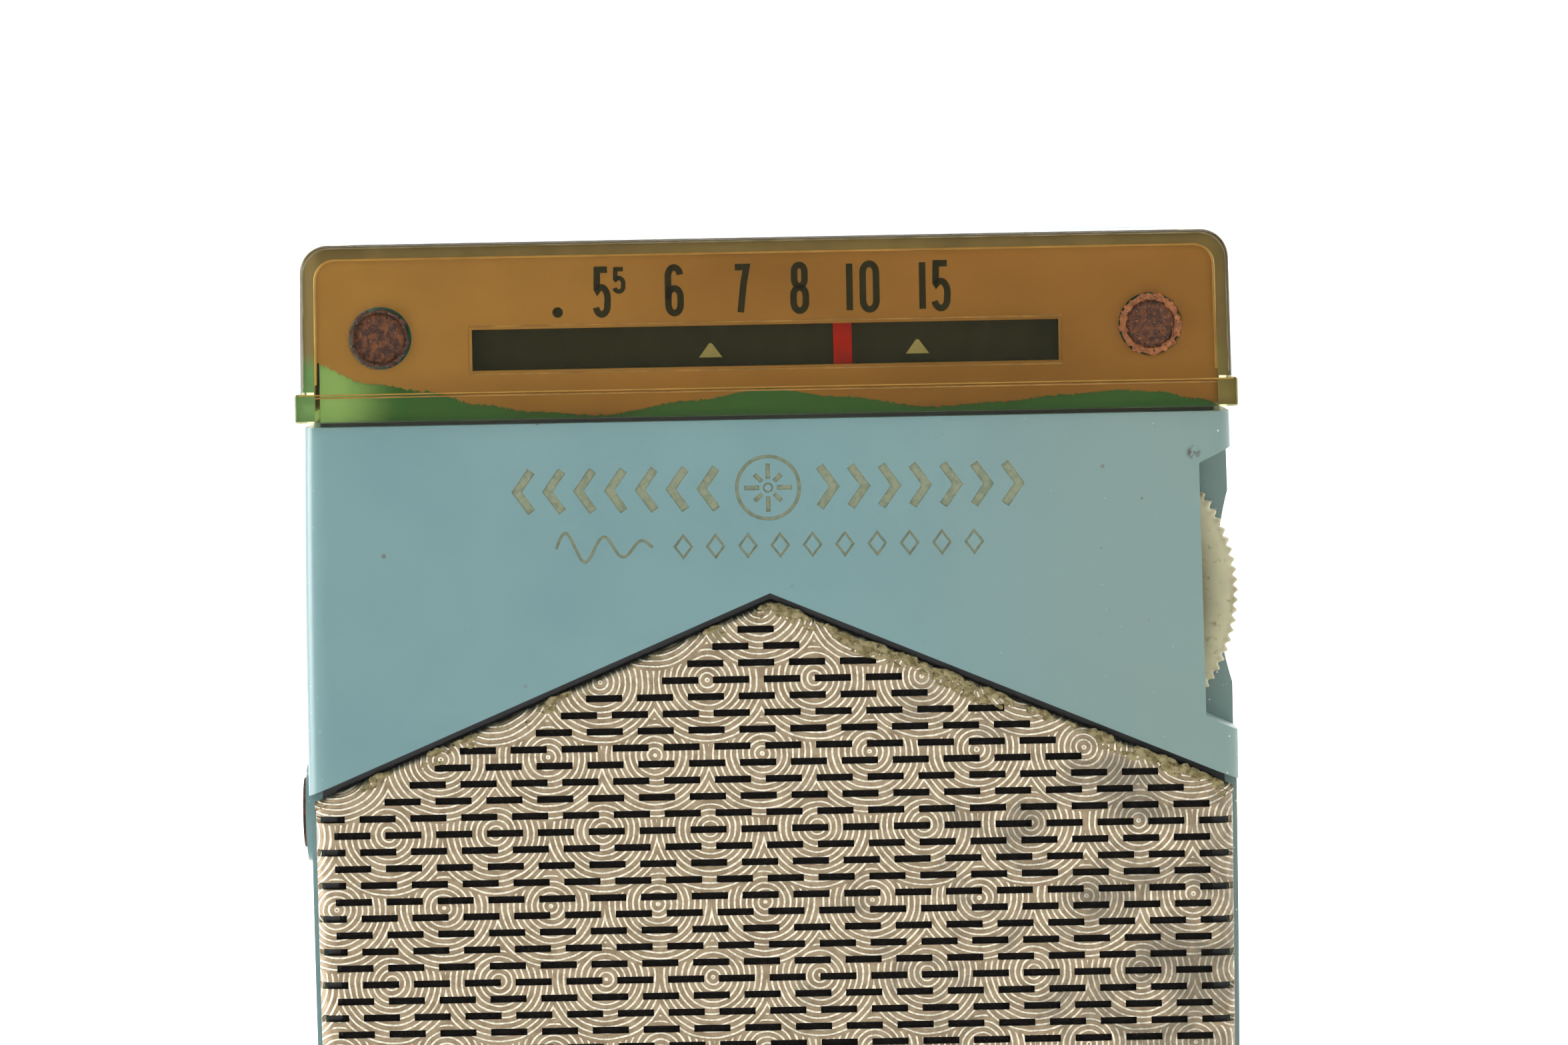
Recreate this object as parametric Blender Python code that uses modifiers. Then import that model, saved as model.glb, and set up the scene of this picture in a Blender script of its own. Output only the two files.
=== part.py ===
"""Transistor pocket radio: case, dial drive, controls, circuit board, speaker and battery.

Frame: metres, +Z up, the front faces -Y, the origin is at the middle of the base.
Every sub-part is one closed solid. Run with: blender --background --python part.py
"""

import math

import bmesh
import bpy
from mathutils import Vector

# ---------------------------------------------------------------- driving dimensions (metres)
GAP = 0.0003                    # clearance between neighbouring solids

CASE_HEIGHT = 0.142
CASE_HALF_WIDTH = 0.03975       # at the widest height
WIDEST_Z = 0.097
BOW_RADIUS_ABOVE = 1.3          # the sides bow gently: radius above the widest height
BOW_RADIUS_BELOW = 2.6          # and below it
PANEL_FRONT_Y = -0.0179         # front face of the chevron panel
PARTING_Y = -0.0040             # plane where the front shell meets the rear cover
SHELL_BACK_Y = PARTING_Y - GAP / 2
COVER_FRONT_Y = PARTING_Y + GAP / 2
TONGUE_BACK_Y = -0.0018         # the shell's rim reaches this far into the cover
CASE_BACK_Y = 0.01875
BASE_CORNER = 0.005
EDGE_ROUND = 0.0022             # rounding of the front shell's long edges
BACK_ROUND = 0.0032             # rounding of the rear cover's edges
COVER_WALL = 0.0019

CHEVRON_APEX_Z = 0.1117         # the panel's lower edge is an upturned V
CHEVRON_SLOPE = 0.4204          # fall per unit of distance from the centre line
PANEL_TOP_Z = 0.1265            # the dial cap sits above this line
PANEL_WALL = 0.0022
LOWER_FRONT_Y = -0.01585        # front wall behind the grille
LOWER_BACK_Y = -0.0143
GRILLE_RETURN_Y = -0.0135       # where the grille's folded sides end
GRILLE_INSET = 0.00055          # grille sides, in from the case sides
GRILLE_SHEET = 0.00035
GRILLE_FRONT_Y = -0.0171
GRILLE_ROUND = 0.0016
SHELL_INSET = 0.0012            # shell behind the grille's sides
CAVITY_INSET = 0.0027

CAP_BASE_Z = 0.1269
CAP_FRONT_Y = -0.0183
CAP_WALL = 0.0012
CAP_FACE_WALL = 0.0014
CAP_HALF_WIDTH_TOP = 0.03945
CAP_HALF_WIDTH_BASE = 0.03965
CAP_CORNER = 0.0024
LIP_FRONT_Y = -0.01875
LIP_HALF_WIDTH = 0.04003
LIP_HEIGHT = 0.0025
HEAD_FRONT_Y = -0.01655         # shell wall under the cap
HEAD_WALL = 0.0015
HEAD_HALF_WIDTH = 0.0380
HEAD_TOP_Z = 0.1405
HEAD_INNER_Y = -0.01505         # inner face of that wall
SHELL_TRIM_Z = 0.131            # outlines run past the panel's top to here, then are trimmed
BATTERY_SHELF_BACK_Y = 0.0146   # the shelf and the cover's post end just short of the cover

RIVET_X = 0.0327
RIVET_Z = 0.1340
RIVET_HEAD_RADIUS = 0.0024
RIVET_SHANK_RADIUS = 0.0012
RIVET_TAIL_Y = -0.0151

WINDOW_HALF_WIDTH = 0.02495
WINDOW_HEIGHT = 0.0035
WINDOW_Z = 0.1328
DIAL_PLATE_Y = -0.0134
DIAL_PLATE_HALF_WIDTH = 0.0275
DIAL_PLATE_THICKNESS = 0.0008
DIAL_PLATE_LOW_Z = 0.1290
DIAL_PLATE_HIGH_Z = 0.1366
RAIL_Y = -0.0111
RAIL_Z = 0.1355
RAIL_RADIUS = 0.0005
RAIL_HALF_LENGTH = 0.0283
POINTER_X = 0.0066              # pointer at rest, part way along the dial
POINTER_WIDTH = 0.0016
POINTER_SHEET = 0.0005
POINTER_TOP_Z = 0.1376

TUNING_X = 0.0260               # axis of the tuning thumbwheel, drum and gang
TUNING_Z = 0.1109
TUNING_WHEEL_RADIUS = 0.0141
TUNING_TEETH = 100
TUNING_WHEEL_Y = -0.0139
TUNING_WHEEL_THICKNESS = 0.0035
KNURL_DEPTH = 0.00025
SHAFT_RADIUS = 0.0024
NOTCH_LOW_Z = 0.0990
NOTCH_HIGH_Z = 0.1236
NOTCH_DEPTH = 0.0028
NOTCH_BACK_Y = -0.0096
NOTCH_RUNOUT = 0.0015           # the notch's ends slope over this height
SCOOP_RADIUS = 0.030            # finger hollow in the case's side
SCOOP_DEPTH = 0.0012
SCOOP_BACK_Y = 0.0040

DRUM_CORD_RADIUS = 0.0098       # drum radius at the middle of the cord
DRUM_FLANGE_RADIUS = 0.0105
CORD_Y = -0.0088
CORD_RADIUS = 0.00025
PULLEY_CORD_RADIUS = 0.0022
PULLEY_X = 0.0335
PULLEY_Z = 0.1333
PULLEY_FLANGE_RADIUS = 0.0030
PULLEY_THICKNESS = 0.0024
PIN_RADIUS = 0.0007
GUIDE_X = 0.0140                # post that turns the cord from the drum to the dial
GUIDE_Z = 0.1289

GANG_FRONT_Y = -0.0072
GANG_BACK_Y = 0.0044
GANG_SHEET = 0.0008
GANG_LEFT_X = 0.0150
GANG_RIGHT_X = 0.0350
FIRST_VANE_GAP = 0.0012         # between the frame's front sheet and the first vane
GANG_HALF_HEIGHT = 0.0112
VANE_RADIUS = 0.0090
VANE_THICKNESS = 0.0005
VANE_PITCH = 0.0019
VANE_COUNT = 4
ROTOR_REST_ANGLE = math.radians(60)   # the half-discs point this way from +X at rest

VOLUME_X = 0.0302
VOLUME_Z = 0.0460
VOLUME_WHEEL_RADIUS = 0.0096
VOLUME_TEETH = 66
VOLUME_WHEEL_Y = -0.0090
VOLUME_WHEEL_THICKNESS = 0.0030
POT_SHAFT_RADIUS = 0.0020
POT_RADIUS = 0.0059
POT_BORE_END_Y = 0.0012

SPEAKER_Z = 0.0635
SPEAKER_FLANGE_RADIUS = 0.0285
SPEAKER_OPENING_RADIUS = 0.0250
SPEAKER_FRONT_Y = -0.0140
SPEAKER_BACK_Y = 0.0043
MAGNET_RADIUS = 0.0110
BASKET_FLANGE_BACK_Y = -0.0110
BASKET_BACK_Y = -0.0030
BASKET_SHEET = 0.0007
BASKET_WINDOW_REACH = 0.0198    # the windows' centres, out from the speaker's axis
BASKET_WINDOW_RADIUS = 0.0042
CLAMP_X = 0.0240                # the two clamping screws, either side of the axis
CLAMP_DROP = 0.0225             # and this far below it

BOARD_Y = 0.0050
BOARD_THICKNESS = 0.0014
BOARD_HALF_WIDTH = 0.0352
BOARD_LOW_Z = 0.0400
BOARD_HIGH_Z = 0.1235
BOARD_BACK_Y = BOARD_Y + BOARD_THICKNESS
BOARD_POSTS = ((-0.0320, 0.1190), (-0.0320, 0.0440), (0.0318, 0.0790))
POST_RADIUS = 0.0030
POST_HOLE_RADIUS = 0.0014
COMPONENT_Y = BOARD_BACK_Y + GAP

ROD_RADIUS = 0.0040
ROD_HALF_LENGTH = 0.0310
ROD_Y = 0.0112
ROD_Z = 0.1300
ROD_HOLDER_X = 0.0240
COIL_WALL = 0.0014
COIL_LEFT_X = -0.0150
COIL_RIGHT_X = 0.0070

CAN_HALF_SIDE = 0.0041
CAN_HEIGHT = 0.0088
CAN_ROW_Z = 0.1045
CAN_FIRST_X = 0.0240
CAN_PITCH = 0.0160
TRANSISTOR_PLACES = ((0.0270, 0.0900), (0.0135, 0.0915), (0.0, 0.0900),
                     (-0.0135, 0.0915), (-0.0270, 0.0900), (-0.0290, 0.0740))
CAPACITOR_Z = 0.0520
CAPACITOR_RADIUS = 0.0036
CAPACITOR_LENGTH = 0.0150
CAPACITOR_LEFT_ENDS = (-0.0235, 0.0065)

BATTERY_SIZE = (0.0465, 0.0175, 0.0265)
BATTERY_CENTRE = (-0.0040, 0.0040, 0.01690)
STUD_OFFSET = 0.0064            # the two terminals, each side of the battery's middle
SHELF_Z = 0.0316                # shelf between the battery and the board
SHELF_THICKNESS = 0.0012
COVER_SCREW_Z = 0.0365
COVER_POST_RADIUS = 0.0034
COVER_SINK_RADIUS = 0.0048
COVER_SINK_Y = 0.0178           # floor of the recess for the cover's screw
COVER_SCREW_HEAD_RADIUS = 0.0044
COVER_SCREW_HEAD_Y = 0.0186     # top of the screw's head

JACK_Y = -0.0090
JACK_Z = 0.0930
JACK_BUSHING_RADIUS = 0.0030
JACK_BORE_RADIUS = 0.0018
JACK_BOSS_RADIUS = 0.0042

FAR = 0.060                     # further than the case reaches, for cutters

# ---------------------------------------------------------------- materials
# slot: (colour, roughness, metallic)
MATERIALS = {
    "blue_plastic": ((0.22, 0.37, 0.39), 0.30, 0.0),
    "clear_plastic": ((0.55, 0.48, 0.12), 0.12, 0.0),
    "rusty_steel": ((0.17, 0.08, 0.05), 0.85, 0.4),
    "dial_black": ((0.015, 0.015, 0.013), 0.60, 0.0),
    "pointer_red": ((0.60, 0.02, 0.01), 0.40, 0.0),
    "grille_metal": ((0.62, 0.52, 0.38), 0.35, 1.0),
    "grille_cloth": ((0.010, 0.009, 0.008), 0.95, 0.0),
    "wheel_plastic": ((0.45, 0.41, 0.25), 0.45, 0.0),
    "brass": ((0.55, 0.38, 0.14), 0.35, 1.0),
    "steel": ((0.50, 0.50, 0.49), 0.35, 1.0),
    "aluminium": ((0.70, 0.70, 0.69), 0.40, 1.0),
    "cord_fabric": ((0.20, 0.15, 0.08), 0.90, 0.0),
    "nylon": ((0.70, 0.67, 0.58), 0.50, 0.0),
    "board_laminate": ((0.30, 0.13, 0.04), 0.60, 0.0),
    "ferrite": ((0.05, 0.05, 0.05), 0.55, 0.0),
    "coil_litz": ((0.35, 0.18, 0.06), 0.70, 0.0),
    "speaker_paper": ((0.04, 0.035, 0.03), 0.95, 0.0),
    "magnet_steel": ((0.25, 0.25, 0.24), 0.50, 1.0),
    "transformer_iron": ((0.10, 0.09, 0.08), 0.60, 0.6),
    "capacitor_sleeve": ((0.25, 0.05, 0.03), 0.45, 0.0),
    "transistor_can": ((0.06, 0.06, 0.07), 0.35, 0.6),
    "battery_jacket": ((0.30, 0.03, 0.02), 0.50, 0.2),
    "black_plastic": ((0.02, 0.02, 0.02), 0.50, 0.0),
}

parts = bpy.data.collections.new("pocket_radio")
cutters = bpy.data.collections.new("cutters")


# ---------------------------------------------------------------- helpers: scene and solids
def clear_scene():
    for obj in list(bpy.data.objects):
        bpy.data.objects.remove(obj, do_unlink=True)
    bpy.context.scene.collection.children.link(parts)
    bpy.context.scene.collection.children.link(cutters)


def material(slot):
    found = bpy.data.materials.get(slot)
    if found:
        return found
    colour, roughness, metallic = MATERIALS[slot]
    made = bpy.data.materials.new(slot)
    made.use_nodes = True
    shader = made.node_tree.nodes["Principled BSDF"]
    shader.inputs["Base Color"].default_value = (*colour, 1.0)
    shader.inputs["Roughness"].default_value = roughness
    shader.inputs["Metallic"].default_value = metallic
    made.diffuse_color = (*colour, 1.0)
    return made


def place(obj, slot):
    """Link an object as a sub-part with its material, or as a cutter when slot is None."""
    if slot is None:
        cutters.objects.link(obj)
        obj.hide_render = True
        obj.display_type = "WIRE"
    else:
        parts.objects.link(obj)
        obj.data.materials.clear()
        obj.data.materials.append(material(slot))
    return obj


def smooth(obj, angle=40):
    obj.data.shade_smooth()
    obj.data.set_sharp_from_angle(angle=math.radians(angle))
    return obj


def object_from(bm, name, slot, location=(0, 0, 0), rotation=(0, 0, 0)):
    mesh = bpy.data.meshes.new(name)
    bmesh.ops.recalc_face_normals(bm, faces=bm.faces)
    bm.to_mesh(mesh)
    bm.free()
    obj = bpy.data.objects.new(name, mesh)
    obj.location = location
    obj.rotation_euler = rotation
    return place(obj, slot)


def box(name, slot, low, high, rounding=0.0):
    """A box between two opposite corners, with its edges rounded if asked."""
    low = Vector(low)
    high = Vector(high)
    bm = bmesh.new()
    bmesh.ops.create_cube(bm, size=1.0)
    bmesh.ops.scale(bm, vec=high - low, verts=bm.verts)
    if rounding:
        bmesh.ops.bevel(bm, geom=bm.edges[:], offset=rounding, segments=2, profile=0.5, affect="EDGES")
    return object_from(bm, name, slot, (low + high) / 2)


AXIS_TURN = {"X": (0, math.pi / 2, 0), "Y": (-math.pi / 2, 0, 0), "Z": (0, 0, 0)}


def cylinder(name, slot, centre, axis, radius, low, high, sides=24):
    """A cylinder about an axis line through centre, from low to high along X, Y or Z."""
    bm = bmesh.new()
    bmesh.ops.create_cone(
        bm, cap_ends=True, segments=sides, radius1=radius, radius2=radius, depth=high - low
    )
    location = list(centre)
    location["XYZ".index(axis)] = (low + high) / 2
    return smooth(object_from(bm, name, slot, location, AXIS_TURN[axis]))


def turned(name, slot, centre, profile, sides=32, closed=False):
    """A shape turned about the Y line through centre: profile is (radius, y), its outer side
    run from the back to the front."""
    mesh = bpy.data.meshes.new(name)
    bm = bmesh.new()
    points = [bm.verts.new((radius, 0, y)) for radius, y in profile]
    pairs = list(zip(points, points[1:]))
    if closed:
        pairs.append((points[-1], points[0]))
    for pair in pairs:
        bm.edges.new(pair)
    bm.to_mesh(mesh)
    bm.free()
    obj = bpy.data.objects.new(name, mesh)
    obj.location = (centre[0], 0, centre[2])
    obj.rotation_euler = AXIS_TURN["Y"]
    screw = obj.modifiers.new("turn", "SCREW")
    screw.angle = 2 * math.pi
    screw.steps = sides
    screw.render_steps = sides
    screw.use_merge_vertices = True
    screw.merge_threshold = 0.00001
    return place(obj, slot)


def plate(name, slot, outlines, front_y, back_y, pivot=(0, 0)):
    """A flat piece facing -Y: closed (x, z) outlines, inner ones being holes, thick along Y."""
    curve = bpy.data.curves.new(name + "_outline", "CURVE")
    curve.dimensions = "2D"
    curve.fill_mode = "BOTH"
    curve.extrude = (back_y - front_y) / 2
    for outline in outlines:
        spline = curve.splines.new("POLY")
        spline.points.add(len(outline) - 1)
        for point, (x, z) in zip(spline.points, outline):
            point.co = (x - pivot[0], z - pivot[1], 0, 1)
        spline.use_cyclic_u = True
    flat = bpy.data.objects.new(name + "_outline", curve)
    flat.location = (pivot[0], (front_y + back_y) / 2, pivot[1])
    flat.rotation_euler = (math.pi / 2, 0, 0)
    cutters.objects.link(flat)
    bpy.context.view_layer.update()
    mesh = bpy.data.meshes.new_from_object(flat.evaluated_get(bpy.context.evaluated_depsgraph_get()))
    mesh.name = name
    bm = bmesh.new()
    bm.from_mesh(mesh)
    bmesh.ops.remove_doubles(bm, verts=bm.verts, dist=0.000001)
    bmesh.ops.recalc_face_normals(bm, faces=bm.faces)
    bm.to_mesh(mesh)
    bm.free()
    solid = bpy.data.objects.new(name, mesh)
    solid.matrix_world = flat.matrix_world
    bpy.data.objects.remove(flat, do_unlink=True)
    return place(solid, slot)


def round_rim(obj, y, width, segments=3):
    """Round the edges that lie in the plane of that y."""
    bm = bmesh.new()
    bm.from_mesh(obj.data)
    turn = obj.matrix_world
    rim = []
    for edge in bm.edges:
        on_plane = all(abs((turn @ vert.co).y - y) < 0.00001 for vert in edge.verts)
        if on_plane and edge.calc_face_angle(0) > 0.5:
            rim.append(edge)
    bmesh.ops.bevel(bm, geom=rim, offset=width, segments=segments, profile=0.5, affect="EDGES")
    bm.to_mesh(obj.data)
    bm.free()
    return obj


def boolean(obj, tool, operation):
    step = obj.modifiers.new(tool.name, "BOOLEAN")
    step.operation = operation
    step.solver = "EXACT"
    step.object = tool


def cut(obj, *tools):
    for tool in tools:
        boolean(obj, tool, "DIFFERENCE")
    return obj


def join(obj, *tools):
    for tool in tools:
        boolean(obj, tool, "UNION")
    return obj


# ---------------------------------------------------------------- helpers: outlines
def half_width(z):
    """Half the case's width at that height: the sides are two shallow arcs."""
    radius = BOW_RADIUS_ABOVE if z > WIDEST_Z else BOW_RADIUS_BELOW
    return CASE_HALF_WIDTH - (z - WIDEST_Z) ** 2 / (2 * radius)


def arc(centre_x, centre_z, radius, start, end, steps):
    """Points of a circular arc, angles in degrees from +X towards +Z."""
    points = []
    for step in range(steps + 1):
        angle = math.radians(start + (end - start) * step / steps)
        points.append((centre_x + radius * math.cos(angle), centre_z + radius * math.sin(angle)))
    return points


def mirrored(right_side):
    """A whole outline from its right side, which runs from the bottom to the top."""
    return right_side + [(-x, z) for x, z in reversed(right_side)]


def case_outline(inset, low, high, low_corner, high_corner, side_steps=8):
    """The bowed case outline, moved in by inset, between two heights."""
    right = arc(half_width(low) - inset - low_corner, low + low_corner, low_corner, -90, 0, 4)
    side_low = low + low_corner
    side_high = high - high_corner
    for step in range(1, side_steps):
        z = side_low + (side_high - side_low) * step / side_steps
        right.append((half_width(z) - inset, z))
    right += arc(half_width(high) - inset - high_corner, side_high, high_corner, 0, 90, 3)
    return mirrored(right)


def rectangle(low_x, low_z, high_x, high_z):
    return [(low_x, low_z), (high_x, low_z), (high_x, high_z), (low_x, high_z)]


def chevron_z(x, rise=0.0):
    return CHEVRON_APEX_Z - abs(x) * CHEVRON_SLOPE + rise


def above_chevron(rise, top=0.200):
    side = chevron_z(FAR, rise)
    return [(-FAR, side), (0, chevron_z(0, rise)), (FAR, side), (FAR, top), (-FAR, top)]


def below_chevron(rise):
    side = chevron_z(FAR, rise)
    return [(-FAR, -0.010), (FAR, -0.010), (FAR, side), (0, chevron_z(0, rise)), (-FAR, side)]


def cap_half_width(z):
    share = (z - CAP_BASE_Z) / (CASE_HEIGHT - CAP_BASE_Z)
    return CAP_HALF_WIDTH_BASE + (CAP_HALF_WIDTH_TOP - CAP_HALF_WIDTH_BASE) * share


def cap_outline(inset, low):
    top = CASE_HEIGHT - inset
    corner = CAP_CORNER - inset * 0.5
    right = [(cap_half_width(low) - inset, low)]
    right += arc(cap_half_width(top) - inset - corner, top - corner, corner, 0, 90, 5)
    return mirrored(right)


def knurled(centre, radius, depth, teeth):
    """A circle with sharp triangular teeth, counted round the rim."""
    points = []
    for step in range(2 * teeth):
        angle = math.pi * step / teeth
        reach = radius - (depth if step % 2 else 0.0)
        points.append((centre[0] + reach * math.cos(angle), centre[1] + reach * math.sin(angle)))
    return points


def circle(centre, radius, sides=24):
    return arc(centre[0], centre[1], radius, 0, 360 - 360 / sides, sides - 1)


# ---------------------------------------------------------------- case
def front_shell():
    shell = plate(
        "front_shell", "blue_plastic",
        [case_outline(0, 0, SHELL_TRIM_Z, BASE_CORNER, 0.001)], PANEL_FRONT_Y, SHELL_BACK_Y,
    )
    round_rim(shell, PANEL_FRONT_Y, EDGE_ROUND)
    cut(shell, box("cut_above_panel", None, (-FAR, -0.030, PANEL_TOP_Z), (FAR, 0.010, 0.160)))
    head = [(HEAD_HALF_WIDTH, 0.120)]
    head += arc(HEAD_HALF_WIDTH - 0.0014, HEAD_TOP_Z - 0.0014, 0.0014, 0, 90, 3)
    join(shell, plate("add_head", None, [mirrored(head)], HEAD_FRONT_Y, SHELL_BACK_Y))
    cut_lower_front(shell)
    rim = [
        case_outline(COVER_WALL + GAP, COVER_WALL + GAP, 0.1398, 0.0028, 0.0020),
        case_outline(CAVITY_INSET, CAVITY_INSET, 0.1393, 0.0023, 0.0015),
    ]
    cut_cavities(shell)
    join(shell, plate("add_rim", None, rim, SHELL_BACK_Y - 0.0008, TONGUE_BACK_Y))
    cut_shell_openings(shell)
    add_shell_posts(shell)
    return shell


def cut_lower_front(shell):
    """Set the lower front back below the chevron, and its sides in, for the grille."""
    front = plate("cut_lower_front", None, [below_chevron(0)], -0.025, LOWER_FRONT_Y)
    inner = case_outline(SHELL_INSET, SHELL_INSET, SHELL_TRIM_Z, BASE_CORNER - SHELL_INSET, 0.001)
    last_z = chevron_z(half_width(WIDEST_Z) - SHELL_INSET)
    right = [(x, z) for x, z in inner if x > 0 and z < last_z]
    right.append((half_width(last_z) - SHELL_INSET, last_z))
    u_band = [(-FAR, -0.010), (FAR, -0.010), (FAR, chevron_z(FAR))]
    u_band += list(reversed(right)) + [(-x, z) for x, z in right] + [(-FAR, chevron_z(FAR))]
    cut(shell, front, plate("cut_grille_sides", None, [u_band], -0.025, GRILLE_RETURN_Y + GAP))


def cut_cavities(shell):
    main = case_outline(CAVITY_INSET, CAVITY_INSET, 0.1247, BASE_CORNER - 0.0015, 0.001)
    head_x = HEAD_HALF_WIDTH - HEAD_WALL
    panel_low = PANEL_WALL / math.cos(math.atan(CHEVRON_SLOPE))
    side_x = 0.0369
    panel = [(-side_x, chevron_z(side_x, panel_low)), (0, chevron_z(0, panel_low))]
    panel += [(side_x, chevron_z(side_x, panel_low)), (side_x, 0.1243), (-side_x, 0.1243)]
    cut(
        shell,
        plate("cut_cavity", None, [main], LOWER_BACK_Y, 0.010),
        plate("cut_panel_cavity", None, [panel], PANEL_FRONT_Y + PANEL_WALL, 0.009),
        plate("cut_head_cavity", None,
              [rectangle(-head_x, 0.1240, head_x, HEAD_TOP_Z - HEAD_WALL)], HEAD_INNER_Y, 0.008),
        plate("cut_wheel_clearance", None,
              [circle((TUNING_X, TUNING_Z), TUNING_WHEEL_RADIUS + 0.0006, 32)],
              LOWER_BACK_Y - 0.0002, NOTCH_BACK_Y),
    )


def cut_shell_openings(shell):
    edge = 0.045
    notch = [
        (half_width(NOTCH_LOW_Z) - NOTCH_DEPTH, NOTCH_LOW_Z + NOTCH_RUNOUT),
        (half_width(NOTCH_LOW_Z) + 0.0004, NOTCH_LOW_Z),
        (edge, NOTCH_LOW_Z),
        (edge, NOTCH_HIGH_Z),
        (half_width(NOTCH_HIGH_Z) + 0.0004, NOTCH_HIGH_Z),
        (half_width(NOTCH_HIGH_Z) - NOTCH_DEPTH, NOTCH_HIGH_Z - NOTCH_RUNOUT),
    ]
    cut(
        shell,
        plate("cut_notch", None, [notch], -0.025, NOTCH_BACK_Y),
        finger_scoop(),
        cylinder("cut_speaker", None, (0, 0, SPEAKER_Z), "Y", SPEAKER_OPENING_RADIUS, -0.025, -0.012, 40),
        box("cut_window", None, (-WINDOW_HALF_WIDTH, -0.020, WINDOW_Z - WINDOW_HEIGHT / 2),
            (WINDOW_HALF_WIDTH, -0.0145, WINDOW_Z + WINDOW_HEIGHT / 2)),
        box("cut_volume_slot", None, (0.033, VOLUME_WHEEL_Y - 0.0006, VOLUME_Z - 0.0078),
            (0.045, VOLUME_WHEEL_Y + VOLUME_WHEEL_THICKNESS + 0.0006, VOLUME_Z + 0.0078)),
    )
    for side in (-1, 1):
        cut(shell, cylinder("cut_rivet_hole", None, (side * RIVET_X, 0, RIVET_Z), "Y",
                            RIVET_SHANK_RADIUS + GAP, -0.020, -0.0145, 16))


def finger_scoop():
    """Shallow hollow in the case's side, behind the tuning thumbwheel."""
    centre = (half_width(TUNING_Z) + SCOOP_RADIUS - SCOOP_DEPTH, 0, TUNING_Z + 0.0005)
    return cylinder("cut_finger_scoop", None, centre, "Y", SCOOP_RADIUS,
                    NOTCH_BACK_Y - 0.0005, SCOOP_BACK_Y, 64)


def add_shell_posts(shell):
    """Screw posts for the board, the battery shelf and the post for the cover's screw."""
    for x, z in BOARD_POSTS:
        join(shell, cylinder("add_post", None, (x, 0, z), "Y", POST_RADIUS, -0.0158, BOARD_Y - GAP, 20))
    shelf = box("add_shelf", None, (-0.0365, LOWER_BACK_Y - 0.0004, SHELF_Z),
                (0.0365, BATTERY_SHELF_BACK_Y, SHELF_Z + SHELF_THICKNESS))
    web = box("add_web", None, (-0.0012, 0.0, SHELF_Z + 0.0004), (0.0012, 0.0140, COVER_SCREW_Z))
    post = cylinder("add_cover_post", None, (0, 0, COVER_SCREW_Z), "Y", COVER_POST_RADIUS, 0.0010, BATTERY_SHELF_BACK_Y, 20)
    boss = cylinder("add_jack_boss", None, (0, JACK_Y, JACK_Z), "X", JACK_BOSS_RADIUS,
                    -half_width(JACK_Z) - 0.0005, -0.0370, 24)
    join(shell, shelf, web, post, boss)
    for x, z in BOARD_POSTS:
        cut(shell, cylinder("cut_post_hole", None, (x, 0, z), "Y", POST_HOLE_RADIUS, -0.0060, 0.020, 12))
    cut(
        shell,
        cylinder("cut_cover_post_hole", None, (0, 0, COVER_SCREW_Z), "Y", 0.0020, 0.0100, 0.020, 16),
        cylinder("cut_jack_hole", None, (0, JACK_Y, JACK_Z), "X", JACK_BUSHING_RADIUS + GAP,
                 -0.0450, -0.0340, 24),
    )


def rear_cover():
    cover = plate(
        "rear_cover", "blue_plastic",
        [case_outline(0, 0, CASE_HEIGHT, BASE_CORNER, 0.004)], COVER_FRONT_Y, CASE_BACK_Y,
    )
    round_rim(cover, CASE_BACK_Y, BACK_ROUND, 4)
    inner = case_outline(COVER_WALL, COVER_WALL, CASE_HEIGHT - COVER_WALL,
                         BASE_CORNER - COVER_WALL, 0.0025)
    cavity = round_rim(plate("cut_cover_cavity", None, [inner], -0.010, CASE_BACK_Y - COVER_WALL),
                       CASE_BACK_Y - COVER_WALL, 0.0015, 3)
    cut(
        cover, cavity, finger_scoop(),
        cylinder("cut_cover_screw", None, (0, 0, COVER_SCREW_Z), "Y", 0.0019, 0.010, 0.030, 16),
        cylinder("cut_cover_screw_head", None, (0, 0, COVER_SCREW_Z), "Y", COVER_SINK_RADIUS, COVER_SINK_Y, 0.030, 24),
    )
    return cover


def cover_screw():
    """Coin-slotted screw that holds the rear cover's lower end."""
    head = turned("cover_screw", "brass", (0, 0, COVER_SCREW_Z), [
        (0, COVER_SCREW_HEAD_Y), (COVER_SCREW_HEAD_RADIUS - 0.0004, COVER_SCREW_HEAD_Y),
        (COVER_SCREW_HEAD_RADIUS, COVER_SCREW_HEAD_Y - 0.0004), (COVER_SCREW_HEAD_RADIUS, COVER_SINK_Y + GAP),
        (0.0016, COVER_SINK_Y + GAP), (0.0016, 0.0120), (0, 0.0120),
    ], 28)
    cut(head, box("cut_coin_slot", None, (-0.010, COVER_SCREW_HEAD_Y - 0.0006, COVER_SCREW_Z - 0.0006),
                  (0.010, 0.030, COVER_SCREW_Z + 0.0006)))
    return head


def dial_cap():
    cap = plate("dial_cap", "clear_plastic", [cap_outline(0, CAP_BASE_Z)], CAP_FRONT_Y, SHELL_BACK_Y)
    round_rim(cap, CAP_FRONT_Y, 0.0008)
    lip = box("add_lip", None, (-LIP_HALF_WIDTH, LIP_FRONT_Y, CAP_BASE_Z),
              (LIP_HALF_WIDTH, SHELL_BACK_Y, CAP_BASE_Z + LIP_HEIGHT))
    join(cap, lip)
    inner = cap_outline(CAP_WALL, CAP_BASE_Z - 0.005)
    cut(cap, plate("cut_cap_inside", None, [inner], CAP_FRONT_Y + CAP_FACE_WALL, 0.010))
    for side in (-1, 1):
        cut(cap, cylinder("cut_cap_hole", None, (side * RIVET_X, 0, RIVET_Z), "Y",
                          RIVET_HEAD_RADIUS + GAP, -0.025, -0.010, 24))
    return cap


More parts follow.
